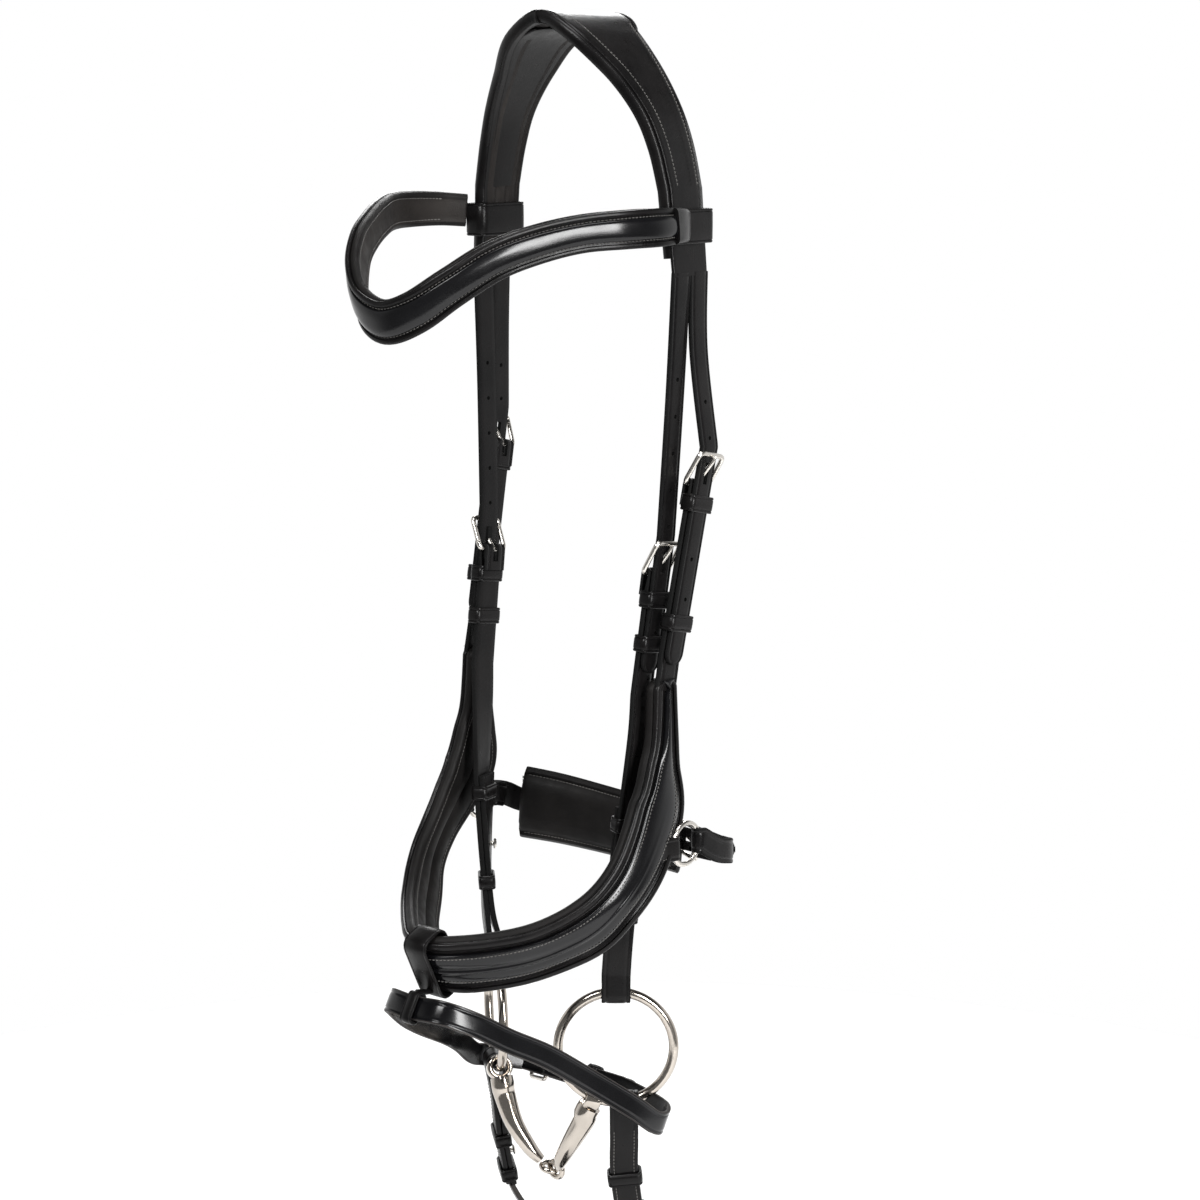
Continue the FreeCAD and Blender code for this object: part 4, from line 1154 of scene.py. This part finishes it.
def make_flash():
    """The flash strap from its buckle round the near side to its punched end."""
    near = [V(x, y, z - FLASH_TILT * x) for x, y, z in FLASH_HALF]
    off = [V(-x, y, z + FLASH_TILT * x) for x, y, z in reversed(FLASH_HALF[2:])]
    near[-1].z += FLASH_RISE
    near[-2].z += FLASH_RISE / 2
    for point in off:
        share = (FLASH_SAG_END - point.y) / FLASH_SAG_LONG
        if 0 < share < 1:
            point.z -= FLASH_SAG * math.sin(math.pi * share)
    lift = FLASH_OUT * (FLASH_PLY + LAY)
    ending = [FLASH_BUCKLE + lift + X_AXIS * x for x in (-24, 62)]
    points = [FLASH_BUCKLE + X_AXIS * 56] + near + [FLASH_FRONT] + off + ending[:1]
    loop = smooth([(p, FLASH_CROSS, FLASH) for p in points])
    tip = straight([loop[-1], (ending[1], FLASH_CROSS, FLASH)])
    whole = loop[:-1] + tip
    first = straight([(FLASH_BUCKLE + X_AXIS * 2, FLASH_CROSS, FLASH),
                      (FLASH_BUCKLE + X_AXIS * 52, FLASH_CROSS, FLASH)])
    route = first + tapered(extended(whole, 8.0, 0.6), 6.5)
    axes = local_axes(FLASH_BUCKLE, X_AXIS, FLASH_CROSS)
    strap = folded_strap("flash_strap_piece", axes, route, FLASH, "flash", False, [GLAZED, EDGE],
                         ply=FLASH_PLY, inset=1.9)
    cut_slots(strap, [(axes, 1.6, 0.8, 12.4, LAY + 0.1, 4.0)])
    holes = []
    for distance in FLASH_HOLES:
        point, along = along_route(route, distance)
        holes.append((point, along.cross(square_to(FLASH_CROSS, along))))
    holes += [(ending[1] - X_AXIS * x, FLASH_OUT) for x in (14, 44)]
    cut_holes(strap, holes, 1.5, 4.0)
    replaced(strap, "glazed_leather", "flash_strap")
    lone_buckle("flash", axes, FLASH, "flash")
    sewn = [(FLASH_BUCKLE + X_AXIS * x, FLASH_CROSS, FLASH) for x in range(6, 26, 3)]
    for a, word in ((1, "lower"), (-1, "upper")):
        stitches("flash_fold_stitches_" + word, sewn, a, -a * 1.9, -FLASH_PLY - 0.15, "flash")
    keeper_axes = local_axes(FLASH_BUCKLE + X_AXIS * 30, X_AXIS, FLASH_CROSS)
    band = loop_band("flash_keeper_band", keeper_axes, FLASH / 2 + KEEPER_WAY,
                     -FLASH_PLY - KEEPER_WAY, FLASH_PLY + LAY + KEEPER_OVER, 7.0, KEEPER_WALL,
                     "flash", [BLACK], False, 0.2)
    replaced(band, "black_leather", "flash_keeper")


def make_flash_loop():
    front, cross, width = NOSE_FRONT
    tall = width / 2 + 1.6
    out = cross.cross(X_AXIS)
    upper = loop_band("flash_loop_upper", (front, cross, X_AXIS, out), tall, -10.4, 6.0, 16.0, 1.3,
                      "headpiece", [BLACK], False, 0.12, 5.5)
    middle = FLASH_FRONT + FLASH_OUT * (FLASH_PLY / 2)
    strap_out = FLASH_CROSS.cross(X_AXIS)
    lower = loop_band("flash_loop_lower", (middle, FLASH_CROSS, X_AXIS, strap_out), 7.6, -2.6, 2.6,
                      8.0, 1.1, "headpiece", [BLACK], False, 0.1, 2.2)
    foot = front + cross * (tall + 0.9)
    goal = middle - FLASH_CROSS * 8.6
    neck = tube("flash_loop_neck", [foot - cross * 1.5, foot, foot.lerp(goal, 0.5), goal,
                                    goal + FLASH_CROSS * 1.0],
                [3.4, 3.2, 2.4, 3.0, 3.2], "headpiece", [BLACK], across=X_AXIS, flat=0.55)
    replaced(upper, "black_leather", "flash_loop")
    grouped()


# ---------------------------------------------------------------- bit

CANNON_ANGLE = math.radians(23.0)
CANNON_WAY = 1.35
LINK = 4.6                  # joint eye, to the middle of its wire
LINK_WIRE = 1.65
LINK_APART = 2.5
JOINT_AT = V(0.0, -23.3, -648.5)


def lathe(name, centre, axis, profile, body, materials, mirror=False, segments=40):
    """A closed profile of (radius, height) turned about an axis."""
    first = square_to(UPWARD if abs(axis.z) < 0.9 else X_AXIS, axis)
    second = axis.cross(first)
    size = len(profile)
    verts = []
    faces = []
    for k in range(segments):
        turn = 2 * math.pi * k / segments
        ray = first * math.cos(turn) + second * math.sin(turn)
        verts += [centre + ray * r + axis * h for r, h in profile]
        n = (k + 1) % segments
        for i in range(size):
            j = (i + 1) % size
            faces.append((k * size + i, k * size + j, n * size + j, n * size + i))
    return mesh_piece(name, verts, faces, materials, body, mirror=mirror, sharp=50.0)


def make_bit():
    for off, word in SIDES:
        ring = tube(f"bit_ring_{word}_piece", circle(RING_AT, RING_ACROSS, UPWARD, RING, 128),
                    RING_WIRE, "bit_ring_" + word, [WARM_STEEL], closed=True, mirror=off,
                    across=RING_FACE, segments=24)
        replaced(ring, "bit_steel", "bit_ring_" + word)

    a = CANNON_ANGLE
    hole = RING_AT - RING_ACROSS * (RING * math.sin(a)) - V(0, 0, RING * math.cos(a))
    along = unit(RING_ACROSS * math.cos(a) - V(0, 0, math.sin(a)))
    bore = RING_WIRE + CANNON_WAY
    barrel = [(bore, -3.6), (bore + 0.5, -4.2), (6.3, -4.5), (7.0, -4.1), (7.4, -3.2), (7.4, 3.2),
              (7.0, 4.1), (6.3, 4.5), (bore + 0.5, 4.2), (bore, 3.6)]
    line = [(hole + V(-2.2, -0.5, -5.3), X_AXIS, 6.5), (hole + V(-4.2, -1.6, -9.5), X_AXIS, 6.7),
            (V(30, -31, -609), X_AXIS, 6.3), (V(21.5, -32.3, -624), X_AXIS, 5.3),
            (V(12, -29.5, -637.5), X_AXIS, 4.2), (V(7.2, -26.1, -644.3), X_AXIS, 3.0)]
    fine = smooth(line, 1.5)
    for off, word in SIDES:
        body = "bit_cannon_" + word
        eye = lathe(f"bit_eye_{word}", hole, along, barrel, body, [WARM_STEEL], off)
        shank = tube(f"bit_shank_{word}", [p for p, _, _ in fine], [w for _, _, w in fine], body,
                     [WARM_STEEL], mirror=off, across=Y_AXIS, segments=28)
        tilt = Y_AXIS if not off else unit(V(0.25, 0, 1))
        first = square_to(X_AXIS, tilt)
        centre = JOINT_AT + X_AXIS * (-LINK_APART if off else LINK_APART)
        joint = tube(f"bit_joint_eye_{word}", circle(centre, first, tilt.cross(first), LINK, 48),
                     LINK_WIRE, body, [WARM_STEEL], closed=True, across=tilt, segments=18)
        replaced(shank, "bit_steel", body)
        grouped()


# ---------------------------------------------------------------- reins

REIN_ANGLE = math.radians(-8.0)
REIN_EYE = 6.4
REIN_FOLDED = [
    (V(47, -16.0, -640), unit(V(0.77, 0.64, 0)), STRAP),
    (V(46.5, -9.5, -672), unit(V(0.80, 0.60, 0)), STRAP),
]
COIL_X = 9.5
COIL_AT = V(COIL_X, -21.0, -815.0)
COIL_OUTER = 94.5
COIL_INNER = 74.5
COIL_PITCH = 6.5            # from one turn's middle to the next
COIL_START = 45.0           # degrees, from +Y towards +Z
COIL_START_R = 92.0
COIL_LAST = -55.0 - 720.0
COIL_LAST_R = 69.0
CONTROL_STEP = 24.0         # degrees between a coil's control points
CONTROL_OUT = 1 / 0.978     # a control point stands outside the turn it makes


def coil_point(angle, radius):
    a = math.radians(angle)
    return COIL_AT + V(0, radius * math.cos(a), radius * math.sin(a))


def rein_points():
    """The free rein's control points: down from its folded end, then round its coil."""
    points = [REIN_FOLDED[1][0], V(46, -3, -686), V(38, 8, -704), V(22, 25, -725),
              coil_point(COIL_START + 16, COIL_START_R * CONTROL_OUT)]
    points[-1].x = 13.0
    angle = COIL_START - 6
    while angle > COIL_LAST:
        radius = COIL_START_R - COIL_PITCH * (COIL_START - angle) / 360
        left = (angle - COIL_LAST) / 56
        if left < 1:
            radius = COIL_LAST_R + (radius - COIL_LAST_R) * left
        points.append(coil_point(angle, radius * CONTROL_OUT))
        angle -= CONTROL_STEP
    points.append(coil_point(COIL_LAST, COIL_LAST_R))
    return points


def spline_line(points):
    """Points along the NURBS spline that has these control points, in millimetres."""
    data = bpy.data.curves.new("rein_route", "CURVE")
    data.dimensions = "3D"
    data.resolution_u = 10
    spline = data.splines.new("NURBS")
    spline.points.add(len(points) - 1)
    for control, point in zip(spline.points, points):
        control.co = (*at(point), 1)
    spline.order_u = 3
    spline.use_endpoint_u = True
    holder = bpy.data.objects.new("rein_route", data)
    bpy.context.collection.objects.link(holder)
    graph = bpy.context.evaluated_depsgraph_get()
    graph.update()
    mesh = bpy.data.meshes.new_from_object(holder.evaluated_get(graph))
    line = [v.co.copy() for v in mesh.vertices]
    bpy.data.objects.remove(holder)
    bpy.data.meshes.remove(mesh)
    if (line[0] - at(points[0])).length > (line[-1] - at(points[0])).length:
        line.reverse()
    return [V(p.x * 1000, p.y * 1000, p.z * 1000 - CROWN) for p in line]


def across_at(point):
    """The rein turns from its ring's angle to lie flat in its coil."""
    share = min(max((point.z + 750) / 78, 0.0), 1.0) if point.x > COIL_X + 0.3 else 0.0
    return unit(X_AXIS.lerp(REIN_FOLDED[1][1], share))


def make_reins():
    """The free reins, their coils, the joining buckle and the tie, at their real length."""
    line = spline_line(rein_points())
    stations = [(p, across_at(p), STRAP) for p in line]
    section = strap_section(-PLY / 2, PLY / 2, 0.7, 0.25, 2.0, 0.1)

    down = COIL_LAST - 90
    up = V(0, -math.cos(math.radians(down)), -math.sin(math.radians(down)))
    place = coil_point(COIL_LAST, COIL_LAST_R - PLY / 2)
    axes = (place, X_AXIS * -1, up, (X_AXIS * -1).cross(up))
    tail = [(placed(axes, 0, y, 0), axes[1], STRAP) for y in (-2, -6, -10, -14, -18)]
    fold = folded_strap("rein_buckle_fold_piece", axes, tail, STRAP, "reins", False, [BLACK, BLACK])
    frame_piece, tongue = lone_buckle("rein", axes, STRAP, "reins")
    replaced(fold, "black_leather", "rein_buckle_fold")

    for off, word in SIDES:
        route = tapered(extended(stations, 9.0, 0.8), 8.0) if off else stations
        piece = sweep("rein_free_" + word, route, section, "reins", [BLACK, EDGE], mirror=off)
        replaced(piece, "black_leather", "rein_strap_" + word, "rein_coil_" + word)

    wide = COIL_X + STRAP / 2 + 0.4
    tie_axes = (V(0, COIL_AT.y, COIL_AT.z), X_AXIS * -1, Y_AXIS, V(0, 0, -1))
    tie = loop_band("rein_tie_band", tie_axes, wide, COIL_INNER - 1.2, COIL_OUTER + 0.7, 12.0, 1.5,
                    "reins", [MATTE], False, 0.25)
    replaced(tie, "tie_band", "rein_tie")


def make_rein_ends():
    """The folded rein ends round the rings, with keepers and hook studs."""
    top = RING_AT - RING_ACROSS * (RING * math.sin(REIN_ANGLE)) - V(0, 0, RING * math.cos(REIN_ANGLE))
    first, second = REIN_FOLDED
    waist = (top * 0.45 + first[0] * 0.55, RING_ACROSS, STRAP)
    front = [(second, LAY / 2), (first, LAY / 2), (waist, 0.9)]
    up_side = [(p + RING_FACE * (gap + PLY), a, w) for (p, a, w), gap in front]
    up_side.append((top + RING_FACE * REIN_EYE - V(0, 0, 2), RING_ACROSS, STRAP))
    down_side = [(top - RING_FACE * REIN_EYE - V(0, 0, 2), RING_ACROSS, STRAP)]
    down_side += [(p - RING_FACE * (gap + PLY), a, w) for (p, a, w), gap in reversed(front)]
    arc = round_wire(top, RING_FACE, UPWARD, REIN_EYE, 0, 180, RING_ACROSS, STRAP)
    front_run = smooth(up_side)
    route = turned(front_run[:-1] + arc + smooth(down_side)[1:])
    run = second[0] - first[0]
    out = unit(unit(run).cross(first[1]))
    for off, word in SIDES:
        sweep("rein_end_" + word, route, strap_section(-PLY, 0, 0.8, 0.3, 2.4),
                          "reins", [BLACK, BLACK], mirror=off)
        for a, edge in ((1, "rear"), (-1, "front")):
            stitches(f"rein_end_stitches_{edge}_{word}", turned(front_run), a, -a * 2.4, 0.0, "reins",
                     mirror=off, span=(0.0, 0.82))
        for number, share in (("upper", 0.1), ("lower", 0.8)):
            axes = local_axes(first[0] + run * share, run, first[1])
            room = PLY + LAY / 2 + KEEPER_WAY
            loop_band(f"rein_keeper_{number}_{word}", axes, STRAP / 2 + KEEPER_WAY,
                                     -room, room, 8.0, KEEPER_WALL, "reins",
                                     [BLACK], off, 0.2)
        base = first[0] + run * 0.45 - out * (PLY + LAY / 2)
        stud("rein_stud_" + word, base, out * -1, "reins", off)
    grouped("rein_ends")
    grouped("rein_keepers")
    grouped("rein_hook_studs")


# ---------------------------------------------------------------- camera, floor and lights

def make_camera():
    data = bpy.data.cameras.new("camera")
    data.lens = 78.0
    data.sensor_width = 36.0
    camera = bpy.data.objects.new("camera", data)
    camera.location = (0.9220, -1.0801, -0.0365)
    camera.rotation_euler = (math.radians(79.0), 0.0, math.radians(40.0))
    bpy.context.collection.objects.link(camera)
    bpy.context.scene.camera = camera


FLOOR_RADIUS = 1.1          # metres
FLOOR_DROP = 12.0           # millimetres from the coil's lowest point down to the floor


def make_floor():
    low = (COIL_AT.z - COIL_OUTER - FLOOR_DROP) / 1000
    mesh = bpy.data.meshes.new("floor")
    turns = [2 * math.pi * k / 96 for k in range(96)]
    rim = [(FLOOR_RADIUS * math.cos(turn), FLOOR_RADIUS * math.sin(turn), low) for turn in turns]
    mesh.from_pydata(rim, [], [tuple(range(96))])
    material, _, _ = new_material("floor", (0.95, 0.95, 0.95), 0.9)
    mesh.materials.append(material)
    floor = bpy.data.objects.new("floor", mesh)
    bpy.context.collection.objects.link(floor)


def softbox(name, place, aim, size, power):
    data = bpy.data.lights.new(name, "AREA")
    data.shape = "RECTANGLE"
    data.size, data.size_y = size
    data.energy = power
    light = bpy.data.objects.new(name, data)
    light.location = place
    light.rotation_euler = (Vector(aim) - Vector(place)).to_track_quat("-Z", "Y").to_euler()
    bpy.context.collection.objects.link(light)


def graded(tree, way, direction, span, levels):
    """Brightness that runs between two levels as a direction turns towards another."""
    turn = tree.nodes.new("ShaderNodeVectorMath")
    turn.operation = "DOT_PRODUCT"
    turn.inputs[1].default_value = direction
    tree.links.new(way, turn.inputs[0])
    grade = tree.nodes.new("ShaderNodeMapRange")
    grade.interpolation_type = "SMOOTHSTEP"
    grade.inputs["From Min"].default_value, grade.inputs["From Max"].default_value = span
    grade.inputs["To Min"].default_value, grade.inputs["To Max"].default_value = levels
    tree.links.new(turn.outputs["Value"], grade.inputs["Value"])
    return grade.outputs["Result"]


def make_lights():
    """Soft boxes, and a world that is brightest ahead of the main camera."""
    world = bpy.data.worlds.new("studio")
    world.use_nodes = True
    tree = world.node_tree
    sky = tree.nodes["Background"]
    way = tree.nodes.new("ShaderNodeTexCoord").outputs["Generated"]
    ahead = graded(tree, way, (-0.64, 0.77, 0.0), (-0.35, 0.25), (0.22, 1.0))
    height = graded(tree, way, (0.0, 0.0, 1.0), (0.32, 0.55), (1.0, 0.10))
    product = tree.nodes.new("ShaderNodeMath")
    product.operation = "MULTIPLY"
    tree.links.new(ahead, product.inputs[0])
    tree.links.new(height, product.inputs[1])
    tree.links.new(product.outputs["Value"], sky.inputs["Color"])
    sky.inputs["Strength"].default_value = 1.0
    bpy.context.scene.world = world
    bpy.context.scene.view_settings.view_transform = "Standard"
    middle = (0.0, -0.03, -0.3)
    softbox("key", (1.9, -0.55, 0.2), middle, (0.4, 1.5), 60)
    softbox("fill", (0.25, -1.7, 1.1), (0.0, -0.1, -0.2), (0.9, 0.5), 34)
    softbox("top", (0.3, -0.2, 1.7), (0.0, 0.0, -0.1), (1.0, 0.6), 26)
    softbox("rim", (-1.3, 1.4, 0.9), middle, (0.8, 1.2), 26)


make_camera()
make_reins()
make_headpiece()
make_browband()
make_noseband()
make_cheekpieces()
make_cheek_buckles()
make_noseband_rings()
make_chin_strap()
make_flash()
make_flash_loop()
make_bit()
make_rein_ends()
make_floor()
make_lights()
